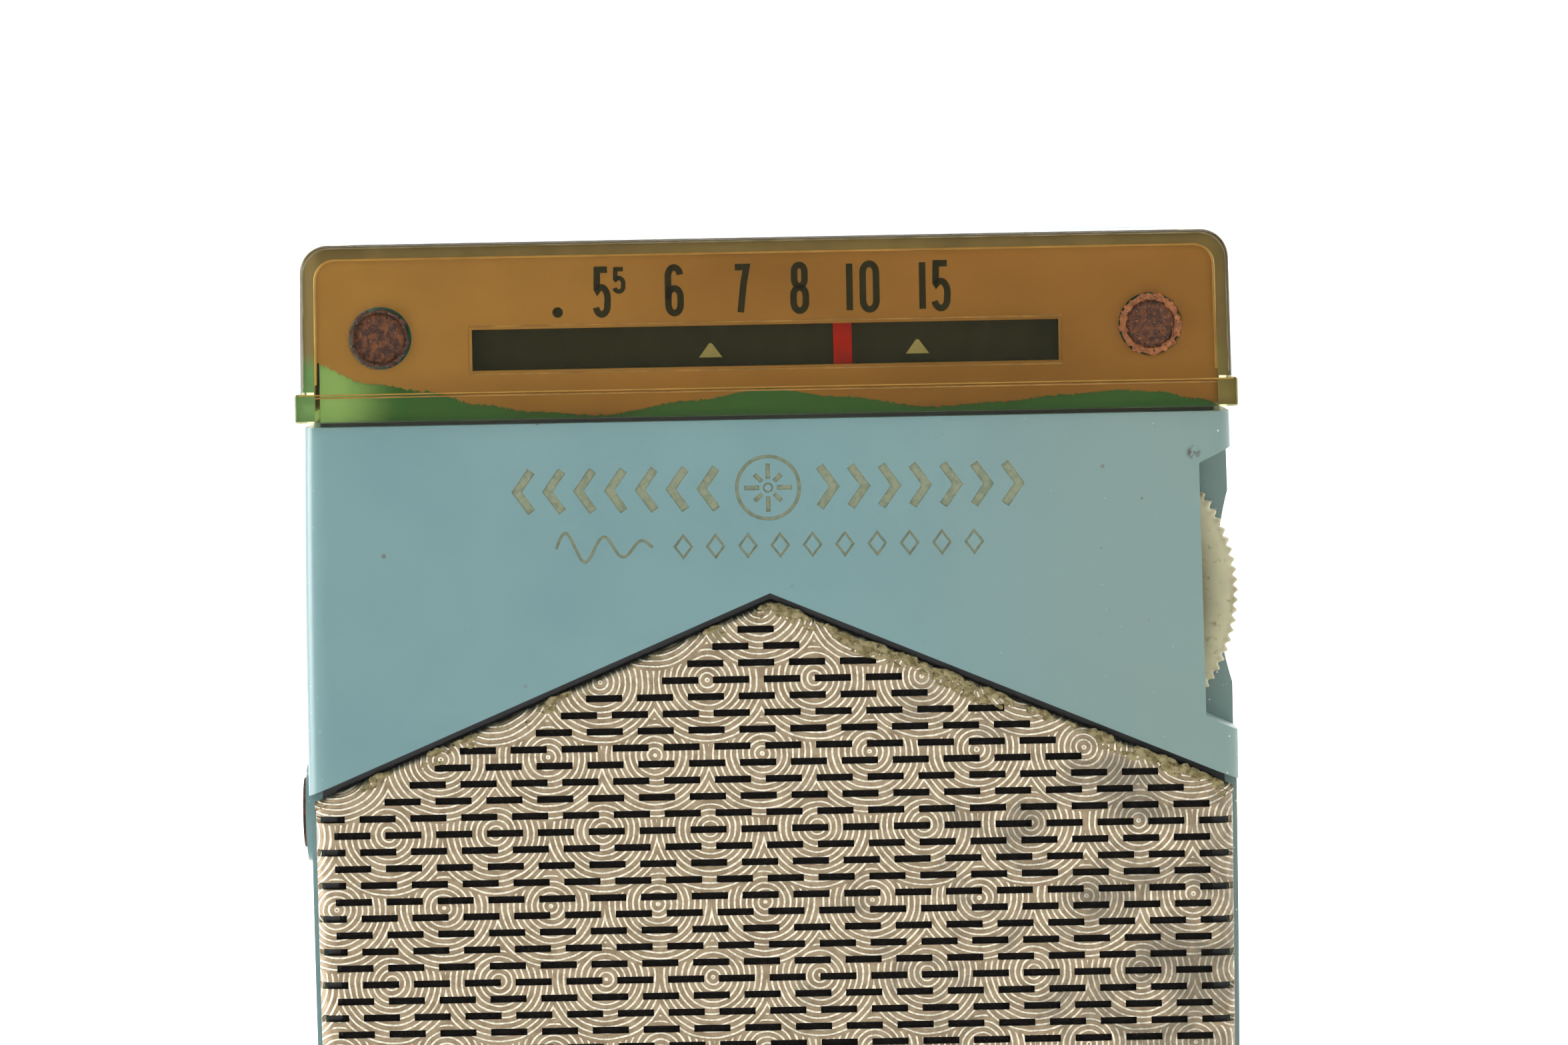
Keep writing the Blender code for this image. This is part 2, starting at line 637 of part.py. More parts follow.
def cap_rivets():
    for side, name in ((-1, "cap_rivet_left"), (1, "cap_rivet_right")):
        head_front = CAP_FRONT_Y + 0.0003
        head_back = HEAD_FRONT_Y - GAP
        turned(name, "rusty_steel", (side * RIVET_X, 0, RIVET_Z), [
            (0, RIVET_TAIL_Y), (RIVET_SHANK_RADIUS, RIVET_TAIL_Y), (RIVET_SHANK_RADIUS, head_back),
            (RIVET_HEAD_RADIUS, head_back), (RIVET_HEAD_RADIUS, head_front + 0.0003),
            (RIVET_HEAD_RADIUS - 0.0004, head_front), (0, head_front),
        ], 24)


def grille():
    outer = case_outline(GRILLE_INSET, GRILLE_INSET, SHELL_TRIM_Z, BASE_CORNER - GRILLE_INSET, 0.001)
    sheet = plate("grille", "grille_metal", [outer], GRILLE_FRONT_Y, GRILLE_RETURN_Y)
    round_rim(sheet, GRILLE_FRONT_Y, GRILLE_ROUND)
    inset = GRILLE_INSET + GRILLE_SHEET
    inner = case_outline(inset, inset, SHELL_TRIM_Z, BASE_CORNER - inset, 0.001)
    hollow_front = GRILLE_FRONT_Y + GRILLE_SHEET
    hollow = plate("cut_grille_inside", None, [inner], hollow_front, 0.0)
    round_rim(hollow, hollow_front, GRILLE_ROUND - GRILLE_SHEET)
    cut(sheet, hollow, plate("cut_grille_top", None, [above_chevron(-GAP)], -0.025, 0.0))


def grille_cloth():
    outline = case_outline(0.0024, 0.0024, SHELL_TRIM_Z, BASE_CORNER - 0.002, 0.001)
    front_y = GRILLE_FRONT_Y + GRILLE_SHEET + GAP
    cloth = plate("grille_cloth", "grille_cloth", [outline], front_y, front_y + 0.0003)
    cut(cloth, plate("cut_cloth_top", None, [above_chevron(-2 * GAP)], -0.025, 0.0))


# ---------------------------------------------------------------- dial and cord drive
def dial_plate():
    """Black plate behind the window, with ears that carry the pointer's rail."""
    back_y = DIAL_PLATE_Y + DIAL_PLATE_THICKNESS
    backing = plate("dial_plate", "dial_black",
                    [rectangle(-DIAL_PLATE_HALF_WIDTH, DIAL_PLATE_LOW_Z, DIAL_PLATE_HALF_WIDTH, DIAL_PLATE_HIGH_Z)],
                    DIAL_PLATE_Y, back_y)
    for side in (-1, 1):
        middle_x = side * (DIAL_PLATE_HALF_WIDTH - 0.0006)
        ear = box("add_ear", None, (middle_x - 0.0004, back_y - 0.0004, 0.1338),
                  (middle_x + 0.0004, RAIL_Y + 0.0015, 0.1368))
        join(backing, ear)
    cut(backing, cylinder("cut_rail_holes", None, (0, RAIL_Y, RAIL_Z), "X",
                          RAIL_RADIUS + GAP, -0.035, 0.035, 12))


def pointer_parts():
    cylinder("pointer_rail", "steel", (0, RAIL_Y, RAIL_Z), "X", RAIL_RADIUS, -RAIL_HALF_LENGTH, RAIL_HALF_LENGTH, 12)
    front_y = DIAL_PLATE_Y - GAP - POINTER_SHEET
    blade = box("pointer", "pointer_red",
                (POINTER_X - POINTER_WIDTH / 2, front_y, WINDOW_Z - WINDOW_HEIGHT / 2 - 0.0006),
                (POINTER_X + POINTER_WIDTH / 2, DIAL_PLATE_Y - GAP, POINTER_TOP_Z))
    arm = box("add_arm", None, (POINTER_X - POINTER_WIDTH / 2, front_y, POINTER_TOP_Z - 0.0006),
              (POINTER_X + POINTER_WIDTH / 2, RAIL_Y - 0.0012, POINTER_TOP_Z))
    join(blade, arm)
    carriage = box("pointer_carriage", "brass",
                   (POINTER_X - 0.0030, DIAL_PLATE_Y + 0.00115, RAIL_Z - 0.0014),
                   (POINTER_X + 0.0030, CORD_Y - CORD_RADIUS - GAP, RAIL_Z + 0.0012), 0.0002)
    cut(carriage, cylinder("cut_carriage_bore", None, (0, RAIL_Y, RAIL_Z), "X",
                           RAIL_RADIUS + GAP, -0.020, 0.030, 12))


def cord_route():
    """The closed loop of the dial cord: round the drum, the two pulleys and the guide post."""
    route = arc(TUNING_X, TUNING_Z, DRUM_CORD_RADIUS, 0, -180, 16)
    route += arc(GUIDE_X, GUIDE_Z, PULLEY_CORD_RADIUS, 0, 90, 6)
    route += arc(-PULLEY_X, PULLEY_Z, PULLEY_CORD_RADIUS, 270, 90, 10)
    route += arc(PULLEY_X, PULLEY_Z, PULLEY_CORD_RADIUS, 90, 0, 6)
    return route


def dial_cord():
    curve = bpy.data.curves.new("dial_cord", "CURVE")
    curve.dimensions = "3D"
    curve.bevel_depth = CORD_RADIUS
    curve.bevel_resolution = 1
    curve.resolution_u = 1
    route = cord_route()
    spline = curve.splines.new("POLY")
    spline.points.add(len(route) - 1)
    for point, (x, z) in zip(spline.points, route):
        point.co = (x, CORD_Y, z, 1)
    spline.use_cyclic_u = True
    place(bpy.data.objects.new("dial_cord", curve), "cord_fabric")


def grooved_profile(bore, groove, flange, thickness, middle_y):
    """Section of a grooved wheel, outer side from the back to the front, then the bore."""
    half = thickness / 2
    return [
        (flange, middle_y + half), (flange, middle_y + half - 0.0003), (groove, middle_y + 0.0004),
        (groove, middle_y - 0.0004), (flange, middle_y - half + 0.0003), (flange, middle_y - half),
        (bore, middle_y - half), (bore, middle_y + half),
    ]


def cord_pulleys():
    groove = PULLEY_CORD_RADIUS - CORD_RADIUS - GAP
    for side, word in ((-1, "left"), (1, "right")):
        centre = (side * PULLEY_X, 0, PULLEY_Z)
        profile = grooved_profile(PIN_RADIUS + GAP, groove, PULLEY_FLANGE_RADIUS, PULLEY_THICKNESS, CORD_Y)
        turned("cord_pulley_" + word, "nylon", centre, profile, 24, closed=True)
        turned("pulley_pin_" + word, "brass", centre, [
            (0, CORD_Y + 0.0022), (0.0013, CORD_Y + 0.0022), (0.0013, CORD_Y + 0.0015),
            (PIN_RADIUS, CORD_Y + 0.0015), (PIN_RADIUS, CORD_Y - 0.0015), (0.0016, CORD_Y - 0.0015),
            (0.0016, -0.0147), (0, -0.0147),
        ], 16)
    turned("cord_guide", "brass", (GUIDE_X, 0, GUIDE_Z), [
        (0, CORD_Y + 0.0016), (0.0022, CORD_Y + 0.0016), (0.0022, CORD_Y + 0.0009),
        (groove, CORD_Y + 0.0006), (groove, CORD_Y - 0.0006), (0.0022, CORD_Y - 0.0009),
        (0.0022, -0.0122), (0, -0.0122),
    ], 16)


def tuning_drive():
    centre = (TUNING_X, 0, TUNING_Z)
    pivot = (TUNING_X, TUNING_Z)
    bore = SHAFT_RADIUS + GAP
    wheel_back = TUNING_WHEEL_Y + TUNING_WHEEL_THICKNESS
    plate("tuning_wheel", "wheel_plastic",
          [knurled(pivot, TUNING_WHEEL_RADIUS, KNURL_DEPTH, TUNING_TEETH), circle(pivot, bore)],
          TUNING_WHEEL_Y, wheel_back, pivot)
    turned("tuning_wheel_screw", "brass", centre, [
        (0, -0.0118), (0.0010, -0.0118), (0.0010, TUNING_WHEEL_Y - GAP), (0.0030, TUNING_WHEEL_Y - GAP),
        (0.0030, -0.0147), (0.0022, -0.0152), (0, -0.0152),
    ], 20)
    groove = DRUM_CORD_RADIUS - CORD_RADIUS - GAP
    turned("dial_drum", "nylon", centre,
           grooved_profile(bore, groove, DRUM_FLANGE_RADIUS, 0.0024, CORD_Y), 40, closed=True)


# ---------------------------------------------------------------- tuning gang
def gang_frame():
    low = TUNING_Z - GANG_HALF_HEIGHT
    high = TUNING_Z + GANG_HALF_HEIGHT
    frame = box("gang_frame", "aluminium", (GANG_LEFT_X, GANG_FRONT_Y, low), (GANG_RIGHT_X, GANG_BACK_Y, high))
    inside = box("cut_gang_inside", None,
                 (GANG_LEFT_X + GANG_SHEET, GANG_FRONT_Y + GANG_SHEET, low - 0.001),
                 (GANG_RIGHT_X + 0.001, GANG_BACK_Y - GANG_SHEET, high + 0.001))
    cut(frame, inside, cylinder("cut_gang_bearings", None, (TUNING_X, 0, TUNING_Z), "Y",
                                SHAFT_RADIUS + GAP, -0.020, 0.020, 20))


def half_disc(angle, inner, outer):
    """Half a ring about the tuning axis, centred on an angle in radians from +X."""
    start = math.degrees(angle) - 90
    points = arc(TUNING_X, TUNING_Z, outer, start, start + 180, 16)
    return points + arc(TUNING_X, TUNING_Z, inner, start + 180, start, 8)


def gang_rotor():
    shaft = cylinder("gang_rotor", "aluminium", (TUNING_X, 0, TUNING_Z), "Y", SHAFT_RADIUS,
                     TUNING_WHEEL_Y, GANG_BACK_Y, 20)
    first = GANG_FRONT_Y + GANG_SHEET + FIRST_VANE_GAP
    for index in range(VANE_COUNT):
        y = first + index * VANE_PITCH
        vane = half_disc(ROTOR_REST_ANGLE, SHAFT_RADIUS - 0.0004, VANE_RADIUS)
        join(shaft, plate("add_rotor_vane", None, [vane], y, y + VANE_THICKNESS))
    cut(shaft, cylinder("cut_shaft_end", None, (TUNING_X, 0, TUNING_Z), "Y", 0.0013, -0.020, -0.0112, 12))


def gang_stator():
    first = GANG_FRONT_Y + GANG_SHEET + FIRST_VANE_GAP + VANE_PITCH / 2
    bar_x = GANG_LEFT_X + GANG_SHEET + 0.0004
    last = first + (VANE_COUNT - 2) * VANE_PITCH + VANE_THICKNESS
    bar = box("gang_stator", "aluminium", (bar_x, first - 0.0003, TUNING_Z - 0.0050),
              (bar_x + 0.0008, last + 0.0003, TUNING_Z + 0.0050))
    for index in range(VANE_COUNT - 1):
        y = first + index * VANE_PITCH
        vane = half_disc(math.pi, SHAFT_RADIUS + 0.0007, TUNING_X - bar_x - 0.0004)
        join(bar, plate("add_stator_vane", None, [vane], y, y + VANE_THICKNESS))


# ---------------------------------------------------------------- volume control
def volume_control():
    pivot = (VOLUME_X, VOLUME_Z)
    centre = (VOLUME_X, 0, VOLUME_Z)
    wheel_back = VOLUME_WHEEL_Y + VOLUME_WHEEL_THICKNESS
    plate("volume_wheel", "wheel_plastic",
          [knurled(pivot, VOLUME_WHEEL_RADIUS, KNURL_DEPTH, VOLUME_TEETH),
           circle(pivot, POT_SHAFT_RADIUS + GAP, 16)],
          VOLUME_WHEEL_Y, wheel_back, pivot)
    turned("volume_wheel_screw", "brass", centre, [
        (0, VOLUME_WHEEL_Y + 0.0018), (0.0008, VOLUME_WHEEL_Y + 0.0018),
        (0.0008, VOLUME_WHEEL_Y - GAP), (0.0026, VOLUME_WHEEL_Y - GAP),
        (0.0026, VOLUME_WHEEL_Y - 0.0009), (0.0019, VOLUME_WHEEL_Y - 0.0013),
        (0, VOLUME_WHEEL_Y - 0.0013),
    ], 16)
    pot_front = wheel_back + 0.0006
    turned("volume_pot", "steel", centre, [
        (POT_RADIUS, BOARD_Y - GAP), (POT_RADIUS, pot_front + 0.0004), (POT_RADIUS - 0.0004, pot_front),
        (POT_SHAFT_RADIUS + GAP, pot_front), (POT_SHAFT_RADIUS + GAP, POT_BORE_END_Y), (0, POT_BORE_END_Y),
        (0, BOARD_Y - GAP),
    ], 24, closed=True)
    shaft = cylinder("volume_pot_shaft", "steel", centre, "Y", POT_SHAFT_RADIUS,
                     VOLUME_WHEEL_Y, POT_BORE_END_Y - 0.0004, 16)
    cut(shaft, cylinder("cut_pot_shaft_end", None, centre, "Y", 0.0011, -0.020,
                        VOLUME_WHEEL_Y + 0.0024, 12))


# ---------------------------------------------------------------- circuit board and its parts
def circuit_board():
    outline = rectangle(-BOARD_HALF_WIDTH, BOARD_LOW_Z, BOARD_HALF_WIDTH, BOARD_HIGH_Z)
    holes = [circle(post, POST_HOLE_RADIUS, 12) for post in BOARD_POSTS]
    plate("circuit_board", "board_laminate", [outline] + holes, BOARD_Y, BOARD_BACK_Y)
    for index, (x, z) in enumerate(BOARD_POSTS):
        turned("board_screw_%d" % (index + 1), "steel", (x, 0, z), [
            (0, COMPONENT_Y + 0.0012), (0.0018, COMPONENT_Y + 0.0012), (0.0024, COMPONENT_Y + 0.0006),
            (0.0024, COMPONENT_Y), (0.0011, COMPONENT_Y), (0.0011, BOARD_Y - 0.0040),
            (0, BOARD_Y - 0.0040),
        ], 14)


def antenna():
    cylinder("ferrite_rod", "ferrite", (0, ROD_Y, ROD_Z), "X", ROD_RADIUS,
             -ROD_HALF_LENGTH, ROD_HALF_LENGTH, 24)
    outer = cylinder("antenna_coil", "coil_litz", (0, ROD_Y, ROD_Z), "X", ROD_RADIUS + COIL_WALL,
                     COIL_LEFT_X, COIL_RIGHT_X, 24)
    cut(outer, cylinder("cut_coil_bore", None, (0, ROD_Y, ROD_Z), "X", ROD_RADIUS + GAP,
                        -0.030, 0.030, 24))
    for side, word in ((-1, "left"), (1, "right")):
        x = side * ROD_HOLDER_X
        holder = box("rod_holder_" + word, "black_plastic", (x - 0.0015, COMPONENT_Y, 0.1185),
                     (x + 0.0015, 0.0162, 0.1358), 0.0004)
        cut(holder, cylinder("cut_holder_bore", None, (0, ROD_Y, ROD_Z), "X", ROD_RADIUS + GAP,
                             x - 0.005, x + 0.005, 24))


def shielded_cans():
    """Oscillator and intermediate-frequency coils in their square cans."""
    half = CAN_HALF_SIDE
    z = CAN_ROW_Z
    for index, name in enumerate(("oscillator_can", "if_can_1", "if_can_2", "if_can_3")):
        x = CAN_FIRST_X - index * CAN_PITCH
        can = box(name, "aluminium", (x - half, COMPONENT_Y, z - half),
                  (x + half, COMPONENT_Y + CAN_HEIGHT, z + half), 0.0004)
        cut(can, cylinder("cut_can_slug", None, (x, 0, z), "Y", 0.0016, COMPONENT_Y + CAN_HEIGHT - 0.0012, 0.030, 12))


def transistors():
    for index, (x, z) in enumerate(TRANSISTOR_PLACES):
        turned("transistor_%d" % (index + 1), "transistor_can", (x, 0, z), [
            (0, COMPONENT_Y + 0.0066), (0.0030, COMPONENT_Y + 0.0066), (0.0034, COMPONENT_Y + 0.0062),
            (0.0034, COMPONENT_Y + 0.0009), (0.0042, COMPONENT_Y + 0.0007), (0.0042, COMPONENT_Y),
            (0, COMPONENT_Y),
        ], 18)


def transformer(name, centre_x, centre_z, width, height):
    """A laminated core with its winding bulging through the window."""
    core = box(name, "transformer_iron",
               (centre_x - width / 2, COMPONENT_Y + 0.0004, centre_z - height / 2),
               (centre_x + width / 2, COMPONENT_Y + 0.0086, centre_z + height / 2))
    winding = box("add_winding", None,
                  (centre_x - width * 0.27, COMPONENT_Y, centre_z - height / 2 - 0.0022),
                  (centre_x + width * 0.27, COMPONENT_Y + 0.0092, centre_z + height / 2 + 0.0022), 0.0008)
    join(core, winding)


def electrolytics():
    for index, x in enumerate(CAPACITOR_LEFT_ENDS):
        cylinder("electrolytic_%d" % (index + 1), "capacitor_sleeve",
                 (0, COMPONENT_Y + CAPACITOR_RADIUS + 0.0001, CAPACITOR_Z), "X", CAPACITOR_RADIUS,
                 x, x + CAPACITOR_LENGTH, 20)


# ---------------------------------------------------------------- loudspeaker
def speaker():
    centre = (0, 0, SPEAKER_Z)
    wall = BASKET_SHEET
    step_y = BASKET_FLANGE_BACK_Y
    back_y = BASKET_BACK_Y
    basket = turned("speaker_basket", "steel", centre, [
        (0.0090, back_y + wall), (0.0150, back_y + wall), (0.0262, step_y),
        (SPEAKER_FLANGE_RADIUS, step_y), (SPEAKER_FLANGE_RADIUS, SPEAKER_FRONT_Y),
        (0.0268, SPEAKER_FRONT_Y), (0.0268, step_y - wall), (0.0256, step_y - wall),
        (0.0146, back_y), (0.0090, back_y),
    ], 40, closed=True)
    for index in range(4):
        angle = math.radians(45 + 90 * index)
        x = BASKET_WINDOW_REACH * math.cos(angle)
        z = SPEAKER_Z + BASKET_WINDOW_REACH * math.sin(angle)
        cut(basket, cylinder("cut_basket_window", None, (x, 0, z), "Y", BASKET_WINDOW_RADIUS, -0.0106, 0.010, 16))
    turned("speaker_magnet", "magnet_steel", centre, [
        (0, SPEAKER_BACK_Y), (MAGNET_RADIUS - 0.0005, SPEAKER_BACK_Y),
        (MAGNET_RADIUS, SPEAKER_BACK_Y - 0.0005), (MAGNET_RADIUS, -0.0018), (0.0082, -0.0018),
        (0.0082, -0.0030), (0.0074, -0.0030), (0.0074, 0.0010), (0.0054, 0.0010), (0.0054, -0.0030),
        (0, -0.0030),
    ], 32)
    turned("speaker_cone", "speaker_paper", centre, [
        (0.0067, 0.0002), (0.0067, -0.0056), (0.0240, -0.0122), (0.0262, -0.0122),
        (0.0262, -0.0126), (0.0238, -0.0127), (0.0072, -0.0064), (0.0050, -0.0080),
        (0.0025, -0.0087), (0.0002, -0.0089), (0.0002, -0.0085), (0.0025, -0.0083),
        (0.0050, -0.0075), (0.0062, -0.0066), (0.0062, 0.0002),
    ], 36, closed=True)


def speaker_screws():
    """Screws with wide washers that clamp the basket's flange to the front wall."""
    for side, word in ((-1, "left"), (1, "right")):
        turned("speaker_clamp_" + word, "brass", (side * CLAMP_X, 0, SPEAKER_Z - CLAMP_DROP), [
            (0, -0.0092), (0.0016, -0.0092), (0.0020, -0.0097), (0.0020, -0.0100),
            (0.0050, -0.0100), (0.0050, -0.0107), (0.0014, -0.0107), (0.0014, -0.0140), (0, -0.0140),
        ], 18)


# ---------------------------------------------------------------- battery and earphone jack
def battery():
    size = Vector(BATTERY_SIZE)
    centre = Vector(BATTERY_CENTRE)
    cell = box("battery", "battery_jacket", centre - size / 2, centre + size / 2, 0.0012)
    stud_x = centre.x + size.x / 2
    for offset in (-STUD_OFFSET, STUD_OFFSET):
        join(cell, cylinder("add_battery_stud", None, (0, centre.y, centre.z + offset), "X", 0.0028,
                            stud_x - 0.001, stud_x + 0.0022, 16))
    snap_x = stud_x + GAP
    snap = box("battery_snap", "black_plastic", (snap_x, centre.y - 0.0060, centre.z - 0.0125),
               (snap_x + 0.0036, centre.y + 0.0060, centre.z + 0.0125), 0.0005)
    for offset in (-STUD_OFFSET, STUD_OFFSET):
        cut(snap, cylinder("cut_snap_socket", None, (0, centre.y, centre.z + offset), "X", 0.0031,
                           snap_x - 0.001, snap_x + 0.0024, 16))


def earphone_jack():
    """Switched jack: a threaded bushing through the side wall, with its contact block inside."""
    inner_x = -0.0362
    jack = box("earphone_jack", "rusty_steel", (inner_x, JACK_Y - 0.0042, JACK_Z - 0.0045),
               (-0.0255, JACK_Y + 0.0042, JACK_Z + 0.0045), 0.0003)
    join(jack, cylinder("add_bushing", None, (0, JACK_Y, JACK_Z), "X", JACK_BUSHING_RADIUS,
                        -half_width(JACK_Z) - 0.0008, inner_x + 0.001, 24))
    cut(jack, cylinder("cut_jack_bore", None, (0, JACK_Y, JACK_Z), "X", JACK_BORE_RADIUS,
                       -0.0450, -0.0275, 16))


def main():
    clear_scene()
    front_shell()
    rear_cover()
    cover_screw()
    dial_cap()
    cap_rivets()
    grille()
    grille_cloth()
    dial_plate()
    pointer_parts()
    dial_cord()
    cord_pulleys()
    tuning_drive()
    gang_frame()
    gang_rotor()
    gang_stator()
    volume_control()
    circuit_board()
    antenna()
    shielded_cans()
    transistors()
    transformer("driver_transformer", -0.0125, 0.0720, 0.0140, 0.0100)
    transformer("output_transformer", 0.0110, 0.0720, 0.0160, 0.0120)
    electrolytics()
    speaker()
    speaker_screws()
    battery()
    earphone_jack()


main()
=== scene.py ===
"""Looks of the transistor pocket radio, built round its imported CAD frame.

Metres, +Z up, the front faces -Y, the origin is at the middle of the base.
"""

import math
import random

import bmesh
import bpy
from mathutils import Matrix, Vector, noise


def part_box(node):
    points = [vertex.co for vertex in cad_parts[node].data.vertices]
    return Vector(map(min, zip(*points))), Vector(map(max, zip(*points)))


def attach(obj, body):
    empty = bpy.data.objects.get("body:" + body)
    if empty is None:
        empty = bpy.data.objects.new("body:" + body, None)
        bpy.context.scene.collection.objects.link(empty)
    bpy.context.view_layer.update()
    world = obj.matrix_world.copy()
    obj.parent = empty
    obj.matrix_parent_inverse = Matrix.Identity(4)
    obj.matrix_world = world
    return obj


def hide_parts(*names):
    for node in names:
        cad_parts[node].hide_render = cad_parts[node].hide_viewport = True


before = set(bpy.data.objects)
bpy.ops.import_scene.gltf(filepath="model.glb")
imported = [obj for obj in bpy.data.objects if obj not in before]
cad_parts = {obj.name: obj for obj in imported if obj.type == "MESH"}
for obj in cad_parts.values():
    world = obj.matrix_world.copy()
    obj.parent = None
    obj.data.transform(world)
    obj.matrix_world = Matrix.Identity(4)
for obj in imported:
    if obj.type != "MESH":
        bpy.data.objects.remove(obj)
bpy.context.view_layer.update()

MM = 0.001

# ---------------------------------------------------------------- places read from the frame
cover_low, cover_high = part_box("rear_cover")
shell_low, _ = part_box("front_shell")
cap_low, cap_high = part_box("dial_cap")
grille_low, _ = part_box("grille")
wheel_low, wheel_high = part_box("tuning_wheel")
volume_low, volume_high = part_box("volume_wheel")
plate_low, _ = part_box("dial_plate")
board_low, board_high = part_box("circuit_board")
battery_low, battery_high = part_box("battery")

CASE_HEIGHT = cover_high.z
CASE_HALF_WIDTH = cover_high.x
CASE_BACK_Y = cover_high.y
COVER_FRONT_Y = cover_low.y
PANEL_FRONT_Y = shell_low.y
TONGUE_BACK_Y = -1.8 * MM
GAP = 0.3 * MM                  # clearance between neighbouring solids
SHELL_BACK_Y = COVER_FRONT_Y - GAP

# ---------------------------------------------------------------- case, as in the CAD design
WIDEST_Z = 97 * MM
BOW_RADIUS_ABOVE = 1.3
BOW_RADIUS_BELOW = 2.6
BASE_CORNER = 5 * MM
EDGE_ROUND = 2.2 * MM
BACK_ROUND = 3.2 * MM
COVER_WALL = 1.9 * MM
CHEVRON_APEX_Z = 111.7 * MM
CHEVRON_SLOPE = 0.4204
PANEL_TOP_Z = 126.5 * MM
PANEL_WALL = 2.2 * MM
LOWER_FRONT_Y = -15.85 * MM
LOWER_BACK_Y = -14.3 * MM
SHELL_INSET = 1.2 * MM
CAVITY_INSET = 2.7 * MM
HEAD_FRONT_Y = -16.55 * MM
HEAD_HALF_WIDTH = 38.0 * MM
HEAD_TOP_Z = 140.5 * MM
HEAD_WALL = 1.5 * MM
GRILLE_INSET = 0.55 * MM
GRILLE_SHEET = 0.35 * MM
GRILLE_ROUND = 1.6 * MM
CAP_WALL = 1.2 * MM
CAP_FACE_WALL = 1.4 * MM
CAP_CORNER = 2.4 * MM
LIP_HEIGHT = 2.5 * MM
CAP_FRONT_Y = cap_low.y + 0.45 * MM
CAP_INNER_Y = CAP_FRONT_Y + CAP_FACE_WALL
CAP_HALF_WIDTH_TOP = 39.45 * MM
CAP_HALF_WIDTH_BASE = 39.65 * MM
NOTCH_LOW_Z = 99.0 * MM
NOTCH_HIGH_Z = 123.6 * MM
NOTCH_DEPTH = 2.8 * MM
NOTCH_BACK_Y = -9.6 * MM
NOTCH_RUNOUT = 1.5 * MM
WINDOW_HALF_WIDTH = 24.95 * MM
WINDOW_HEIGHT = 3.5 * MM
WINDOW_Z = 132.8 * MM
RIVET_X = 32.7 * MM
RIVET_Z = 134.0 * MM
RIVET_RADIUS = 2.4 * MM
SPEAKER_Z = 63.5 * MM
SPEAKER_OPENING = 25.0 * MM
COVER_SCREW_Z = 36.5 * MM
SHELF_Z = 31.6 * MM
SHELF_THICKNESS = 1.2 * MM
BOARD_POSTS = ((-32.0, 119.0), (-32.0, 44.0), (31.8, 79.0))
JACK_Y = -9.0 * MM
JACK_Z = 93.0 * MM
JACK_BOSS_RADIUS = 4.2 * MM
FAR = 60 * MM                   # further than the case reaches, for cutters
AHEAD_Y = -0.025                # in front of everything, where cutters start
SHELL_TRIM_Z = 131 * MM         # outlines run past the panel's top to here, then are trimmed
POST_RADIUS = 3 * MM
POST_HOLE_RADIUS = 1.4 * MM
COVER_POST_RADIUS = 3.4 * MM
SHELF_HALF_WIDTH = 36.5 * MM
SHELF_BACK_Y = 14.6 * MM
SCOOP_RADIUS = 30 * MM
SCOOP_DEPTH = 1.2 * MM
SCOOP_BACK_Y = 4.0 * MM
HEAD_CUT_FRONT_Y = -0.020       # cutters through the wall under the cap
HEAD_CUT_BACK_Y = -0.0145
POST_FRONT_Y = -0.0158
COVER_SINK_Y = 0.0178           # floor of the recess for the cover's screw
COVER_SINK_RADIUS = 4.8 * MM
COVER_SCREW_HOLE_RADIUS = 1.9 * MM
KNURL_DEPTH = 0.34 * MM

TUNING_X = (wheel_low.x + wheel_high.x) / 2
TUNING_Z = (wheel_low.z + wheel_high.z) / 2
VOLUME_X = (volume_low.x + volume_high.x) / 2
VOLUME_Z = (volume_low.z + volume_high.z) / 2


# ---------------------------------------------------------------- mesh helpers
def object_from(bm, name):
    bmesh.ops.recalc_face_normals(bm, faces=bm.faces)
    mesh = bpy.data.meshes.new(name)
    bm.to_mesh(mesh)
    bm.free()
    obj = bpy.data.objects.new(name, mesh)
    bpy.context.scene.collection.objects.link(obj)
    return obj


def smooth(obj, angle=38):
    obj.data.shade_smooth()
    obj.data.set_sharp_from_angle(angle=math.radians(angle))
    return obj


def box(name, low, high, rounding=0.0, segments=3):
    low = Vector(low)
    high = Vector(high)
    bm = bmesh.new()
    bmesh.ops.create_cube(bm, size=1.0)
    bmesh.ops.scale(bm, vec=high - low, verts=bm.verts)
    if rounding:
        bmesh.ops.bevel(bm, geom=bm.edges[:], offset=rounding, segments=segments, profile=0.5,
                        affect="EDGES")
    bmesh.ops.translate(bm, vec=(low + high) / 2, verts=bm.verts)
    return object_from(bm, name)


AXES = {"X": Matrix.Rotation(math.pi / 2, 4, "Y"), "Y": Matrix.Rotation(-math.pi / 2, 4, "X"),
        "Z": Matrix.Identity(4)}


def cylinder(name, centre, axis, radius, low, high, sides=48):
    bm = bmesh.new()
    bmesh.ops.create_cone(bm, cap_ends=True, segments=sides, radius1=radius, radius2=radius,
                          depth=high - low)
    bmesh.ops.transform(bm, matrix=AXES[axis], verts=bm.verts)
    middle = Vector(centre)
    middle["XYZ".index(axis)] = (low + high) / 2
    bmesh.ops.translate(bm, vec=middle, verts=bm.verts)
    return object_from(bm, name)


def lofted(bm, rings, closed_along=False, cap_ends=True):
    """Quads between rings of points that all have the same count."""
    made = []
    for ring in rings:
        made.append([bm.verts.new(point) for point in ring])
    pairs = list(zip(made, made[1:]))
    if closed_along:
        pairs.append((made[-1], made[0]))
    count = len(made[0])
    for first, second in pairs:
        for index in range(count):
            after = (index + 1) % count
            bm.faces.new((first[index], first[after], second[after], second[index]))
    if cap_ends and not closed_along:
        bm.faces.new(made[0])
        bm.faces.new(made[-1])


